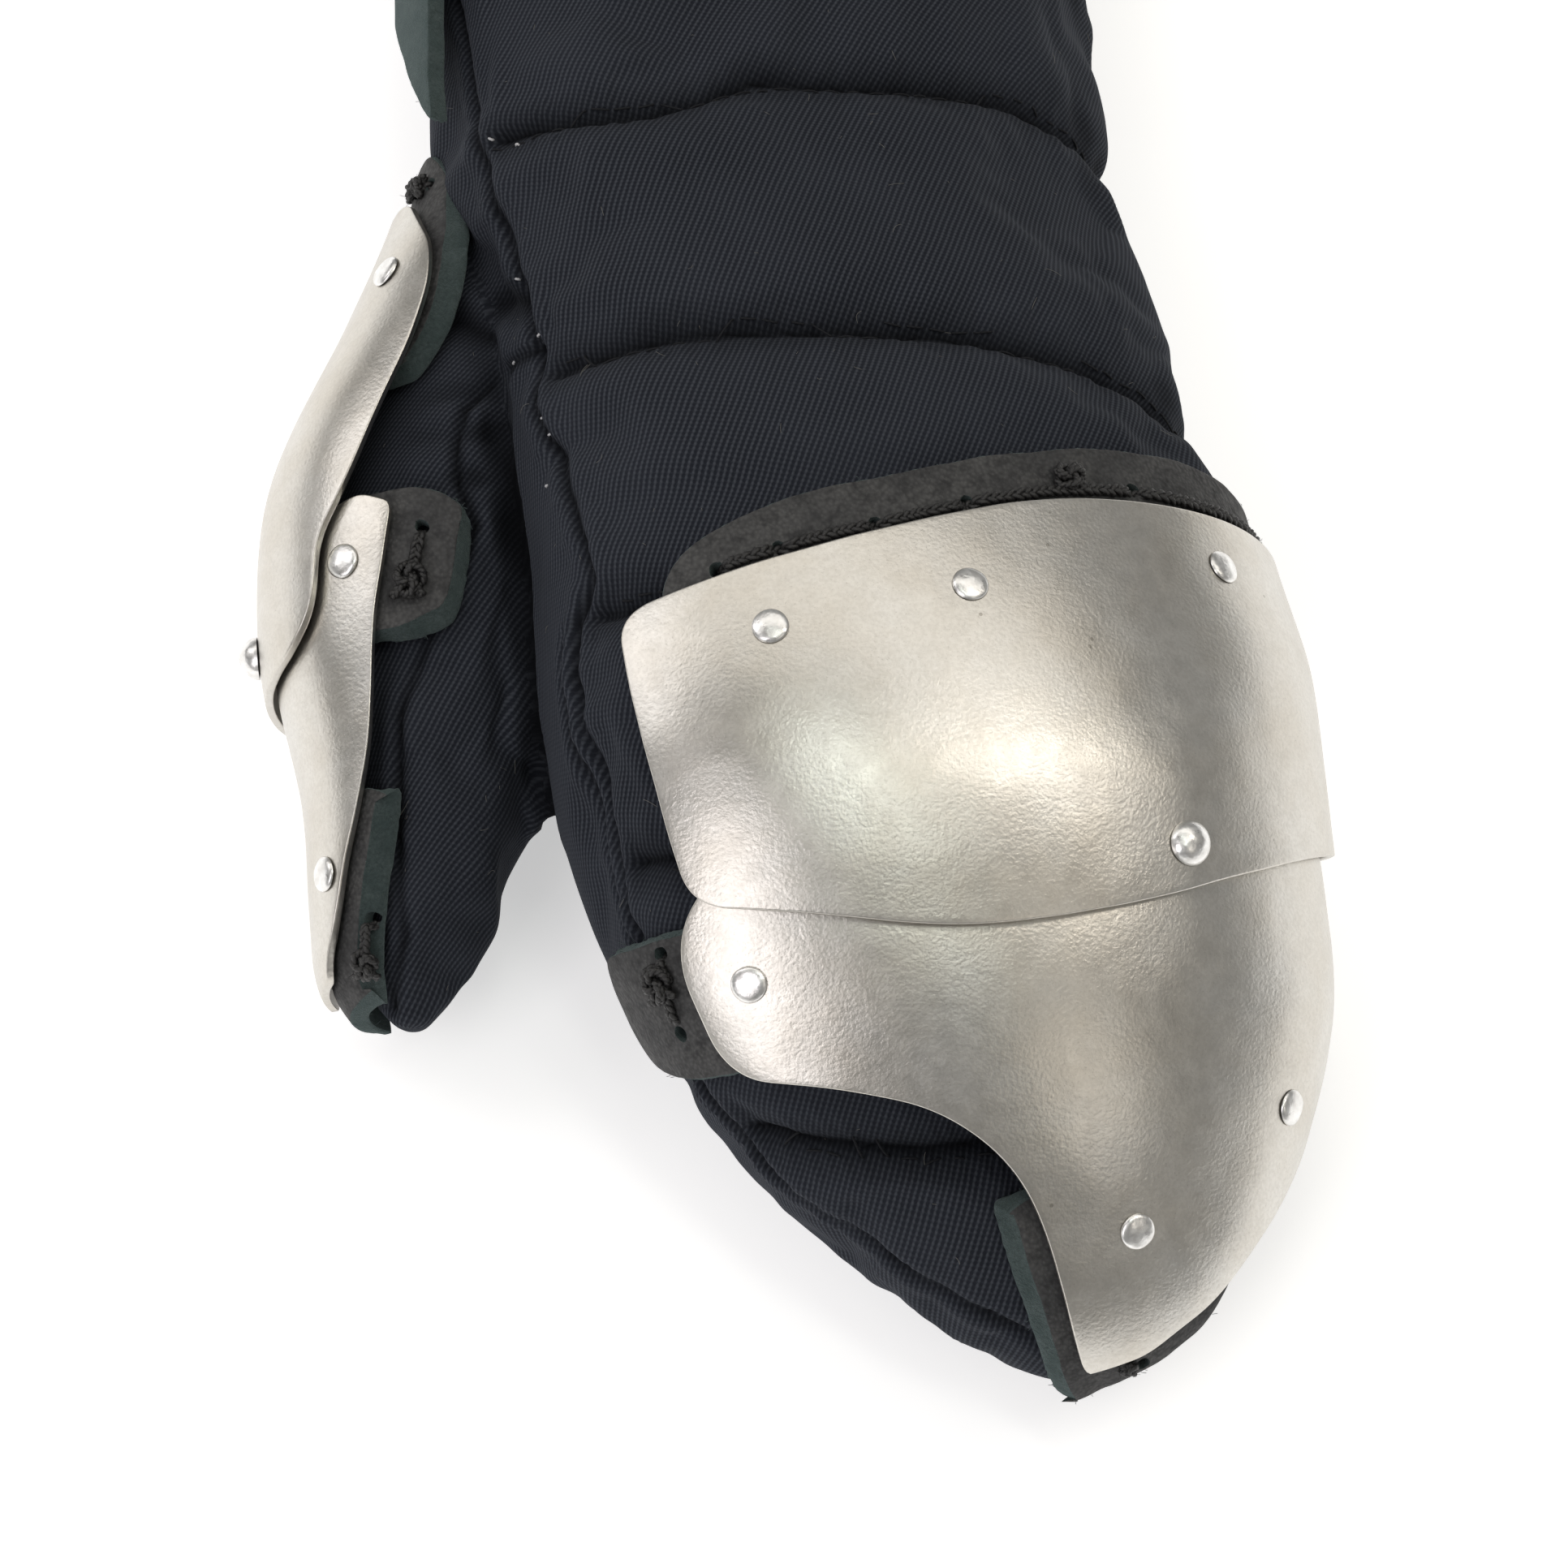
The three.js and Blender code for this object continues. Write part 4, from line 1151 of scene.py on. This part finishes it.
def settle(body, cap):
    """Lets a body of cloth puff up from inside. No point moves further than the cap, in millimetres."""
    start = get_points(body)
    hand_place, hand_off = hand_skin.find(start)
    thumb_place, thumb_off = thumb_skin.find(start)
    (hr, ha), (tr, ta) = hand_place.T, thumb_place.T
    on_thumb = thumb_off < hand_off
    quilted = np.abs(quilt_distance(hr, ha)[0])
    held = np.where(
        on_thumb,
        covered(thumb, tr, ta),
        np.maximum(covered(hand, hr, ha), (1 - smooth_step(2, 6, quilted)) * on_back(hr, ha)),
    )
    held = np.maximum(held, 1 - smooth_step(2, 9, start[:, 2] / MM))
    held = np.maximum(held, smooth_step(HEM_Y - 0.006, HEM_Y - 0.001, start[:, 1]))
    pins = body.vertex_groups.new(name="pinned")
    for i in np.flatnonzero(held > 0.5):
        pins.add([int(i)], 1.0, "REPLACE")
    pick(body)
    cloth_modifier = body.modifiers.new("Cloth", "CLOTH")
    settings = cloth_modifier.settings
    settings.vertex_group_mass = "pinned"
    settings.use_pressure = True
    settings.uniform_pressure_force = 3
    settings.shrink_min = -0.06
    settings.tension_stiffness = 15
    settings.bending_stiffness = 0.4
    settings.effector_weights.gravity = 0
    scene = bpy.context.scene
    for number in range(1, SETTLING_FRAMES + 1):
        scene.frame_set(number)
    bpy.ops.object.modifier_apply(modifier="Cloth")
    scene.frame_set(1)
    body.vertex_groups.clear()
    moved = get_points(body) - start
    far = np.linalg.norm(moved, axis=1)[:, None]
    limit = (cap - 0.8 * cap * held)[:, None] * MM
    settled = start + moved * limit / np.maximum(far, limit)
    set_points(body, settled)
    print("furthest settled:", (far.max() / MM).round(1), "mm, kept to", cap, "mm")


settle(mitten, 2.0)

# %% [markdown]
# ## Seams, quilting and creases
#
# The skin is now subdivided to about a millimetre and worked finely. The quilting pulls it down along
# each line, with a pucker at every stitch. A side seam runs down the index side and round the fingertips.
# Folds bunch where the quilting ends, and inside the thumb's bend.


# %% Lines sewn in the hand and the thumb
def distance_to(form, path, r, a):
    """Millimetres from places to a sewn line, and how far along the line the nearest spot is."""
    points = form.at(*np.array(path, float).T) / MM
    places = form.at(r, a) / MM
    best = np.full(len(places), np.inf)
    walked_best = np.zeros(len(places))
    for start, end, walked in zip(points[:-1], points[1:], walk(points)):
        way = end - start
        size = np.linalg.norm(way)
        t = np.clip(((places - start) @ way) / size**2, 0, 1)
        away = np.linalg.norm(places - start - t[:, None] * way, axis=1)
        closer = away < best
        best = np.where(closer, away, best)
        walked_best = np.where(closer, walked + t * size, walked_best)
    return best, walked_best


THUMB_SEAM = [
    (4, 46), (-2, 51), (-1, 57), (6, 65), (14, 72), (0, 88), (-22, 105), (-25, 115), (-23, 126), (-10, 142),
    (-40, 152),
]
GUSSET_SEAM = [(-80, 158), (-90, 157)]
HAND_PINCH = [(-93, 141), (-86, 145), (-81, 148)]
THUMB_PINCH = [(-36, 33), (-24, 34), (-8, 38)]
LAST_CHANNEL = 292  # where the second row of seam stitches ends, along the hand


def puckers(walked, pitch, seed):
    """Small waves along a sewn line, one to a stitch and uneven as hand-fed cloth is."""
    uneven = np.array([noise.noise(Vector((w / 9, seed * 3.1, 0))) for w in walked])
    return np.sin(2 * math.pi * (walked / pitch + 1.5 * uneven)) * (0.6 + 0.5 * uneven)


def slot(away, width):
    """A sewn slot: 1 in the middle and 0 past its half width, with steep sides."""
    return np.maximum(0, 1 - away / width) ** 1.3


def pinched(form, path, r, a, depth):
    """Where the cloth is pinched in along a short line: how deep in millimetres, and how much painted shade.
    """
    away = distance_to(form, path, r, a)[0]
    return depth * np.maximum(0, 1 - away / 6) ** 1.5, 0.9 * np.maximum(0, 1 - away / 5)


def hand_relief(r, a):
    """How far the hand's skin stands off its form, in millimetres, and the painted shade of its creases."""
    spots = hand.at(r, a)
    bare = 1 - covered(hand, r, a)
    back = on_back(r, a)

    # The channels are pulled down to each quilting line, and pucker at its stitches.
    away, nearest = quilt_distance(r, a)
    near = np.abs(away + 0.8 * ramble(spots, 24 * MM, 3))
    walked = hand.at(r, np.full(len(r), 150.0))[:, 0] / MM + 40 * nearest
    pucker = puckers(walked, 4.4, 2)
    relief = (1.1 - 2.9 * np.maximum(0, 1 - near / 13) ** 1.7) * back
    relief -= (1.7 + 0.3 * pucker) * slot(near, 2.2) * back
    relief += 0.42 * (1 - smooth_step(1, 8, near)) * smooth_step(0, 1.5, near) * pucker * back
    # The quilting slots, and the cloth a few millimetres either side of them, get painted shade.
    crease_shade = (0.96 - 0.1 * pucker) * slot(near, 2.6 + 0.5 * pucker) * back
    crease_shade = np.maximum(crease_shade, 0.5 * np.maximum(0, 1 - near / 6) * back)

    # Folds bunch on the little-finger side, and the rest of the cloth is a little slack.
    folds = smooth_step(52, 78, r) * (1 - smooth_step(2, 18, near)) * back
    bunched = ramble(spots * [1, 1, 1.4], 8 * MM, 11)
    relief += 1.1 * folds * bunched
    # The hollows of the folds get painted shade.
    crease_shade = np.maximum(crease_shade, folds * smooth_step(0.15, -0.35, bunched) * 0.7)
    relief += 0.4 * ramble(spots, 17 * MM, 5) * bare * smooth_step(0.1, 1, back + 0.4)

    # The index seam has a ridge beside it, and towards the fingertips a second row that makes a welt.
    seam_away, walk_on_seam = distance_to(hand, INDEX_SEAM, r, a)
    welt = smooth_step(203, 212, a) * (r < 60)
    second = np.abs(from_seam(r, a) * 1.05 + 4.6)
    second_row = welt * (a < LAST_CHANNEL)
    relief -= (1.2 + 0.5 * welt) * slot(seam_away, 1.6)
    relief += 0.55 * near_line(seam_away, 2.8, 2.8)
    relief += 0.2 * near_line(seam_away, 3.0, 5.0) * puckers(walk_on_seam, 4.2, 7)
    relief -= second_row * (1.1 * slot(second, 1.5) - 0.5 * near_line(second, 2.6, 2.4))
    # Both rows of the seam get painted shade.
    crease_shade = np.maximum(crease_shade, 0.97 * slot(seam_away, 1.7))
    crease_shade = np.maximum(crease_shade, 0.9 * second_row * slot(second, 1.5))

    # The thumb's gusset starts at a short seam and a pinch.
    gusset_away = distance_to(hand, GUSSET_SEAM, r, a)[0]
    pinch, pinch_shade = pinched(hand, HAND_PINCH, r, a, 2.2)
    relief -= 1.6 * slot(gusset_away, 2.4) + pinch
    # The gusset seam and the pinch get painted shade.
    crease_shade = np.maximum(np.maximum(crease_shade, slot(gusset_away, 2.2)), pinch_shade)
    return np.where(relief > 0, relief * (0.4 + 0.6 * bare), relief), crease_shade


def thumb_relief(r, a):
    """The same for the thumb, which is plain but for its seam and the folds inside its bend."""
    spots = thumb.at(r, a)
    away, walk_on_seam = distance_to(thumb, THUMB_SEAM, r, a)
    relief = -1.2 * slot(away, 1.6)
    relief += 0.5 * near_line(away, 2.6, 2.6) + 0.2 * near_line(away, 3, 5) * puckers(walk_on_seam, 4.0, 9)
    # The seam gets painted shade, and so do the hollows of the folds and the pinch below.
    crease_shade = 0.95 * slot(away, 1.7)
    bend = near_line(a, 52, 40) * near_line(r, 26, 72)
    bunched = ramble(spots * [1.0, 2.2, 1.0], 12 * MM, 15)
    relief += 1.9 * bend * bunched
    crease_shade = np.maximum(crease_shade, 0.8 * bend * smooth_step(0.05, -0.4, bunched))
    pinch, pinch_shade = pinched(thumb, THUMB_PINCH, r, a, 2.0)
    relief += 0.5 * ramble(spots, 15 * MM, 17) * (1 - covered(thumb, r, a)) - pinch
    return relief, np.maximum(crease_shade, pinch_shade)


# %% Work the skin
bpy.context.view_layer.update()
apply_modifier(mitten, "SUBSURF", levels=2, render_levels=2)
points = get_points(mitten)
hand_place, hand_off = hand_skin.find(points)
thumb_place, thumb_off = thumb_skin.find(points)
thumb_share = smooth_step(-1.5, 1.5, hand_off - thumb_off)
hand_height, hand_crease_shade = hand_relief(*hand_place.T)
thumb_height, thumb_crease_shade = thumb_relief(*thumb_place.T)
relief = (1 - thumb_share) * hand_height + thumb_share * thumb_height
# The painted shade of hand and thumb is blended the same way, and deepened at the fork and where thumb meets
# hand.
crease_shade = (1 - thumb_share) * hand_crease_shade + thumb_share * thumb_crease_shade
junction = np.abs(hand_off - thumb_off) + np.maximum(0, np.maximum(hand_off, thumb_off) - 5)
fork = smooth_step(44, 62, thumb_place[:, 1])  # the deep valley between thumb and hand
relief -= (1.2 + 2.4 * fork) * (1 - smooth_step(0, 4 + 4 * fork, junction))
crease_shade = np.maximum(crease_shade, (0.35 + 0.6 * fork) * (1 - smooth_step(0.5, 3 + 6 * fork, junction)))
points += get_normals(mitten) * relief[:, None] * MM
points[:, 2] = np.maximum(points[:, 2], 0.1 * MM)
set_points(mitten, points)
# The painted shade is stored on the skin as an attribute, which the cloth's material reads.
mitten.data.attributes.new("crease_shade", "FLOAT", "POINT").data.foreach_set("value", np.clip(crease_shade, 0, 1))
print("mitten:", len(mitten.data.polygons), "faces")
print("relief:", relief.min().round(1), "to", relief.max().round(1), "mm")

# %% [markdown]
# ## The hollow for the hand
#
# The inside is a smaller body of the same two forms. Both bodies are cut off at the hem, and the two open
# loops are bridged, so the wall has its real thickness and the mitten is open where a hand goes in.


# %% Cut off at the hem and bridge
def cut_at_hem(body):
    cut = {"plane_co": (0, HEM_Y, 0), "plane_no": (0, 1, 0), "clear_outer": True, "threshold": 1e-6}
    edit(body, (bpy.ops.mesh.bisect, cut))


HOLLOW_RINGS = [-12, 20, 50, 90, 125, 160, 195, 225, 255, 280, 298, 308]
THUMB_HOLLOW_RINGS = [-20, 10, 40, 65, 90, 112, 124]
lining = fused(
    "hollow",
    [
        wrap("hand_hollow", hand, HOLLOW_RINGS, 60, -10, 4),
        wrap("thumb_hollow", thumb, THUMB_HOLLOW_RINGS, 36, -7, 4),
    ],
    3,
)
edit(lining, (bpy.ops.mesh.flip_normals, {}))
cut_at_hem(lining)
cut_at_hem(mitten)
deselect()
lining.select_set(True)
mitten.select_set(True)
bpy.context.view_layer.objects.active = mitten
bpy.ops.object.join()
edit(mitten, *OPEN_EDGES, (bpy.ops.mesh.bridge_edge_loops, {"number_cuts": 6, "interpolation": "LINEAR"}))
print("with the hollow:", len(mitten.data.polygons), "faces")


# %% [markdown]
# ## The weave
#
# Twill needs a map in real millimetres, or its ribs would stretch. Each face is unrolled from its form:
# across is the length of arc from the top of the hand, and down is the length along it.


# %% Unroll the cloth
STEP = 4.0  # from one looked-up place to the next, in degrees and in millimetres


class Unrolled:
    """The length of arc from the top of a form, looked up for places on it."""

    def __init__(self, form, first, last):
        self.first = first
        self.rounds = np.arange(-240, 241, STEP)
        self.alongs = np.arange(first, last + 1, STEP)
        r, a = np.meshgrid(self.rounds, self.alongs)
        points = form.at(r.ravel(), a.ravel()).reshape(len(self.alongs), len(self.rounds), 3) / MM
        steps = np.linalg.norm(np.diff(points, axis=1), axis=2)
        arc = np.concatenate([np.zeros((len(steps), 1)), np.cumsum(steps, axis=1)], 1)
        self.arc = arc - arc[:, len(self.rounds) // 2][:, None]

    def at(self, r, a):
        i = np.clip((a - self.first) / STEP, 0, len(self.alongs) - 1.001)
        j = np.clip((r - self.rounds[0]) / STEP, 0, len(self.rounds) - 1.001)
        i0, j0 = i.astype(int), j.astype(int)
        di, dj = i - i0, j - j0
        low = self.arc[i0, j0] * (1 - dj) + self.arc[i0, j0 + 1] * dj
        high = self.arc[i0 + 1, j0] * (1 - dj) + self.arc[i0 + 1, j0 + 1] * dj
        return low * (1 - di) + high * di


def lay_weave(piece):
    """Gives a cloth piece the map 'weave', in millimetres."""
    points = get_points(piece)
    found = [skin.find(points) for skin in (hand_skin, thumb_skin)]
    mesh = piece.data
    corners = np.empty(len(mesh.loops), np.int32)
    mesh.loops.foreach_get("vertex_index", corners)
    firsts = np.empty(len(mesh.polygons), np.int32)
    counts = np.empty(len(mesh.polygons), np.int32)
    mesh.polygons.foreach_get("loop_start", firsts)
    mesh.polygons.foreach_get("loop_total", counts)
    first_corner = np.repeat(corners[firsts], counts)
    on_thumb = (found[1][1] < found[0][1])[first_corner]
    maps = []
    for (places, _), unrolled in zip(found, (Unrolled(hand, 0, 340), Unrolled(thumb, -20, 160))):
        r, a = places[corners].T
        base = places[first_corner, 0]
        r = r - 360 * np.round((r - base) / 360)  # no face is torn where round jumps by a full turn
        maps.append(np.stack([unrolled.at(r, a), a], 1))
    uv = np.where(on_thumb[:, None], maps[1] + [7.3, 3.1], maps[0])
    layer = mesh.uv_layers.new(name="weave")
    layer.data.foreach_set("uv", uv.ravel())


lay_weave(mitten)
mitten.data.materials.clear()
mitten.data.materials.append(cloth)
shade(mitten)
finish_piece(mitten, "cotton_twill", "padded_mitten")

# %% [markdown]
# ## The laces and their knots
#
# The leathers are tied on with a cord of three plaited strands. Each strand weaves from side to side and
# over and under as it goes, a third of a turn behind the next, which is all that a plait is. Where the
# cord goes through a hole it dives into the leather, and it ends in a small hard knot. The knot is the
# same plait run twice round a ring and three times through it, which is how an overhand knot looks when
# it is pulled tight.


# %% Tubes along paths
def tube(name, paths, radius, material, sides=2):
    """Round strands along lists of points, as one mesh."""
    curve = bpy.data.curves.new(name, "CURVE")
    curve.dimensions = "3D"
    curve.bevel_depth = radius * MM
    curve.bevel_resolution = sides
    curve.use_fill_caps = True
    for path in paths:
        spline = curve.splines.new("POLY")
        spline.points.add(len(path) - 1)
        spline.points.foreach_set("co", np.hstack([path, np.ones((len(path), 1))]).ravel())
    deselect()
    piece = bpy.data.objects.new(name, curve)
    bpy.context.collection.objects.link(piece)
    pick(piece)
    bpy.ops.object.convert(target="MESH")
    piece = bpy.context.object
    piece.data.materials.append(material)
    merge_and_face_out(piece)
    shade(piece)
    return piece


def resampled(path, spacing):
    """A path's points, evenly spaced, and how far along each is."""
    walked = walk(path)
    places = np.linspace(0, walked[-1], max(3, int(walked[-1] / spacing / MM)))
    return between(places, walked, path), places


def plait(path, outward, swing=0.62, rise=0.3, pitch=4.6, seed=0):
    """Three strands plaited along a path. outward points away from what the cord lies on.

    swing and rise are how far a strand goes aside and up, and pitch is the length of a turn.
    """
    path, walked = resampled(path, 0.3)
    outward = between(np.linspace(0, len(outward) - 1, len(path)), range(len(outward)), outward)
    ahead = unit(np.gradient(path, axis=0))
    side = unit(np.cross(ahead, outward))
    top = np.cross(side, ahead)
    slack, *loose = (
        np.array([noise.noise(Vector((w / MM / size, seed * 2.3, k))) for w in walked])
        for k, size in enumerate((5, 3, 3, 3))
    )
    strands = []
    for strand in range(3):
        turn = 2 * math.pi * (walked / MM / pitch + strand / 3) + 2.2 * slack
        across = swing * (1 + 0.5 * loose[strand]) * np.sin(turn)
        over = rise * np.sin(2 * turn) + 0.35 * loose[strand - 1]
        strands.append(path + (across[:, None] * side + over[:, None] * top) * MM)
    return strands


# %% The cord's way over its leather
LEATHER_TOP = LEATHER_LIFT + LEATHER
LACE_HALF = 0.75  # half the plait's thickness


def drawn(way, steps):
    """A line drawn through places, with some steps to each stretch: round and along."""
    return between(np.linspace(0, len(way) - 1, steps * (len(way) - 1) + 1), range(len(way)), way).T


def lace_path(form, way, holes, relief):
    """The cord's middle over its leather, diving in at its holes, and the outward direction along it."""
    r, a = drawn(way, 40)
    for _ in range(60):
        r[1:-1] = (r[:-2] + 2 * r[1:-1] + r[2:]) / 4
        a[1:-1] = (a[:-2] + 2 * a[1:-1] + a[2:]) / 4
    lift = LEATHER_TOP + LACE_HALF + relief(r, a)
    path = form.at(r, a, lift)
    for hole in holes:
        away = np.linalg.norm(path - form.at(*hole, LEATHER_TOP + LACE_HALF), axis=1) / MM
        end = away[0] < 1 or away[-1] < 1
        lift = lift - (3.4 if end else 1.9) * (1 - smooth_step(0.3, 2.6, away))
    return form.at(r, a, lift), unit(form.at(r, a, 10) - form.at(r, a, 0))


# %% Tie a knot
KNOT_RING = 1.3
KNOT_TUBE = 0.85


def knot(place, normal, ahead, size, seed):
    """The plaited strands of an overhand knot pulled tight."""
    side = np.cross(normal, ahead)
    t = np.linspace(0, 2 * math.pi, 160)
    reach = KNOT_RING + KNOT_TUBE * np.cos(3 * t)
    loops = np.stack([1.25 * reach * np.cos(2 * t), reach * np.sin(2 * t), KNOT_TUBE * np.sin(3 * t)], 1)
    loops *= size
    loops += 0.3 * size * np.stack([ramble(loops, 1.6, seed + k) for k in range(3)], 1)
    loops = place + (loops * MM) @ np.stack([ahead, side, normal])
    return plait(loops, unit(loops - loops.mean(0)), 0.42, 0.25, 3.2, seed)


def tie(name, seed):
    """A plaited cord over its leather, with a knot and two loose ends."""
    under, middle, size, way, holes = LACES[name]
    form = LEATHERS[under][0]
    relief = leather_relief[under]
    path, outward = lace_path(form, way, holes, relief)
    strands = plait(path, outward, seed=seed)
    top = LEATHER_TOP + float(relief(np.array([middle[0]]), np.array([middle[1]]))[0]) + 1.3 * size
    place, normal = form.seat(*middle, top)
    ahead = path[-1] - path[0]
    ahead = unit(ahead - normal * (ahead @ normal))
    strands += knot(place, normal, ahead, size, seed)
    side = np.cross(normal, ahead)
    t = np.linspace(0, 1, 12)[:, None]
    for turn, reach in ((-0.6, 3.0), (0.8, 2.4)):
        way_out = ahead * math.cos(turn) + side * math.sin(turn)
        arch = normal * (0.8 * np.sin(2.2 * t) - 1.3 * t)
        tail = place + (way_out * t * (reach + 1.0) * size + arch) * MM
        strands += plait(tail, np.repeat(normal[None], 12, 0), 0.4, 0.25, 3.2, seed + 1)
    cord = tube(name + "_cord", strands, 0.47, cord_finish)
    finish_piece(cord, "black_cord", name)
    return cord


cords = {}
for seed, name in enumerate(LACES, start=50):
    cords[name] = tie(name, seed)
    print(name, len(cords[name].data.polygons), "faces")

# %% [markdown]
# ## Stitches
#
# The quilting is sewn with black thread, one stitch every four millimetres, and each lies at the bottom
# of its slot. The seamster ended some lines with a few white stitches, which still show at the root of
# the thumb.


# %% The mitten's skin, to lay things on
class Surface:
    """A piece's points and normals, to find the spot nearest to a place."""

    def __init__(self, piece):
        self.points = get_points(piece)
        self.normals = get_normals(piece)
        self.tree = tree_of(self.points)

    def near(self, point):
        i = self.tree.find(point)[1]
        return self.points[i], self.normals[i]


skin = Surface(mitten)


# %% Sew
STITCH_PITCH = 4.2
STITCH_LENGTH = 2.9
# A stitch from the side: the share of its length, and millimetres over the cloth.
STITCH = np.array([[0, -0.35], [0.12, 0.1], [0.35, 0.24], [0.65, 0.24], [0.88, 0.1], [1, -0.35]])


def stitches(form, way, pitch, length):
    """Stitches along a way over the cloth, each from one hole to the next."""
    spots, walked = resampled(form.at(*drawn(way, 30)), 0.5)
    paths = []
    for start in np.arange(0.5, walked[-1] / MM - length, pitch):
        ends = between([start * MM, (start + length) * MM], walked, spots)
        (first, up), (last, _) = (skin.near(end) for end in ends)
        paths.append(first + (last - first) * STITCH[:, :1] + up * STITCH[:, 1:] * MM)
    return paths


quilt_stitches = []
for row in QUILTING:
    rounds = np.arange(-76, 86, 6)
    alongs = np.interp(rounds, QUILT_ROUNDS, row)
    quilted = from_seam(rounds, alongs) > 0
    way = np.stack([rounds, alongs], 1)[quilted]
    quilt_stitches += stitches(hand, way, STITCH_PITCH, STITCH_LENGTH)
quilting_thread = tube("quilting_thread", quilt_stitches, 0.2, black_thread, sides=1)
finish_piece(quilting_thread, "cotton_twill")
WHITE_STITCHES = [
    (-75, 117), (-70, 118.3), (-80.5, 144), (-80, 156.5), (-88, 156.5), (-82.5, 170), (-82, 174),
    (-85, 182),
]
WHITE_STITCH = np.array([[-0.45, -0.1], [-0.15, 0.22], [0.15, 0.22], [0.45, -0.1]])  # across and up
white_ends = []
for place in WHITE_STITCHES:
    spot, up = skin.near(hand.at(*place)[0])
    across = unit(np.cross(up, [0.3, 1, 0]))
    white_ends.append(spot + (across * WHITE_STITCH[:, :1] + up * WHITE_STITCH[:, 1:]) * MM)
white_stitches = tube("white_stitches", white_ends, 0.24, white_thread, sides=1)
finish_piece(white_stitches, "cotton_twill")
print("stitches:", len(quilt_stitches), "black and", len(white_ends), "white")

# %% [markdown]
# ## Lint and loose fibres
#
# Black cotton gathers lint, raw leather is hairy where it was cut, and a cord sheds fibres. All of them
# are short curled hairs that grow from a piece's own points, so one function makes them, with few faces
# to each hair.


# %% Hairs that stand or lie on a piece
LINT_COUNT = 260
FIBRES_PER_LEATHER = 70
FUZZ_PER_TIE = 90
FUZZ_ON_YOKE_LACE = 420


def hairs(name, surface, chosen, length, radius, stand, finish, slot, seed):
    """One curled hair from each chosen point. stand is how much of it points away from the surface.

    length is the shortest and the longest hair, in millimetres.
    """
    chance = np.random.default_rng(seed)
    paths = []
    for i in chosen:
        spot, up = surface.points[i], surface.normals[i]
        along = unit(np.cross(up, chance.normal(size=3)))
        way = unit(along + up * stand * chance.uniform(0.5, 1.5))
        curl = unit(chance.normal(size=3)) * chance.uniform(0.2, 0.9) - up * 0.25
        t = np.linspace(0, 1, 6)[:, None]
        size = chance.uniform(*length)
        paths.append(spot + (size * (t * way + t**2 * curl) + up * 0.06) * MM)
    piece = tube(name, paths, radius, finish, sides=0)
    finish_piece(piece, slot)
    return piece


chance = np.random.default_rng(5)
outside = np.flatnonzero((skin.points[:, 2] > 20 * MM) & (skin.normals[:, 2] > 0.2))
chosen = chance.choice(outside, LINT_COUNT)
hairs("lint_on_the_cloth", skin, chosen, (0.5, 3.4), 0.035, 0.12, lint, "cotton_twill", 6)
for seed, (name, piece) in enumerate(leathers.items(), start=10):
    surface = Surface(piece)
    raw = [polygon.vertices[0] for polygon in piece.data.polygons if polygon.material_index == 1]
    chosen = chance.choice([i for i in raw if surface.normals[i][2] > -0.3], FIBRES_PER_LEATHER)
    hairs(name + "_fibres", surface, chosen, (0.3, 1.3), 0.045, 1.0, raw_edge, "black_leather", seed)
for seed, (name, piece) in enumerate(cords.items(), start=30):
    surface = Surface(piece)
    chosen = chance.choice(len(surface.points), FUZZ_ON_YOKE_LACE if name == "yoke_lace" else FUZZ_PER_TIE)
    hairs(name + "_fuzz", surface, chosen, (0.35, 1.1), 0.035, 0.8, cord_finish, "black_cord", seed)
print("pieces of fibre:", 1 + len(leathers) + len(cords))
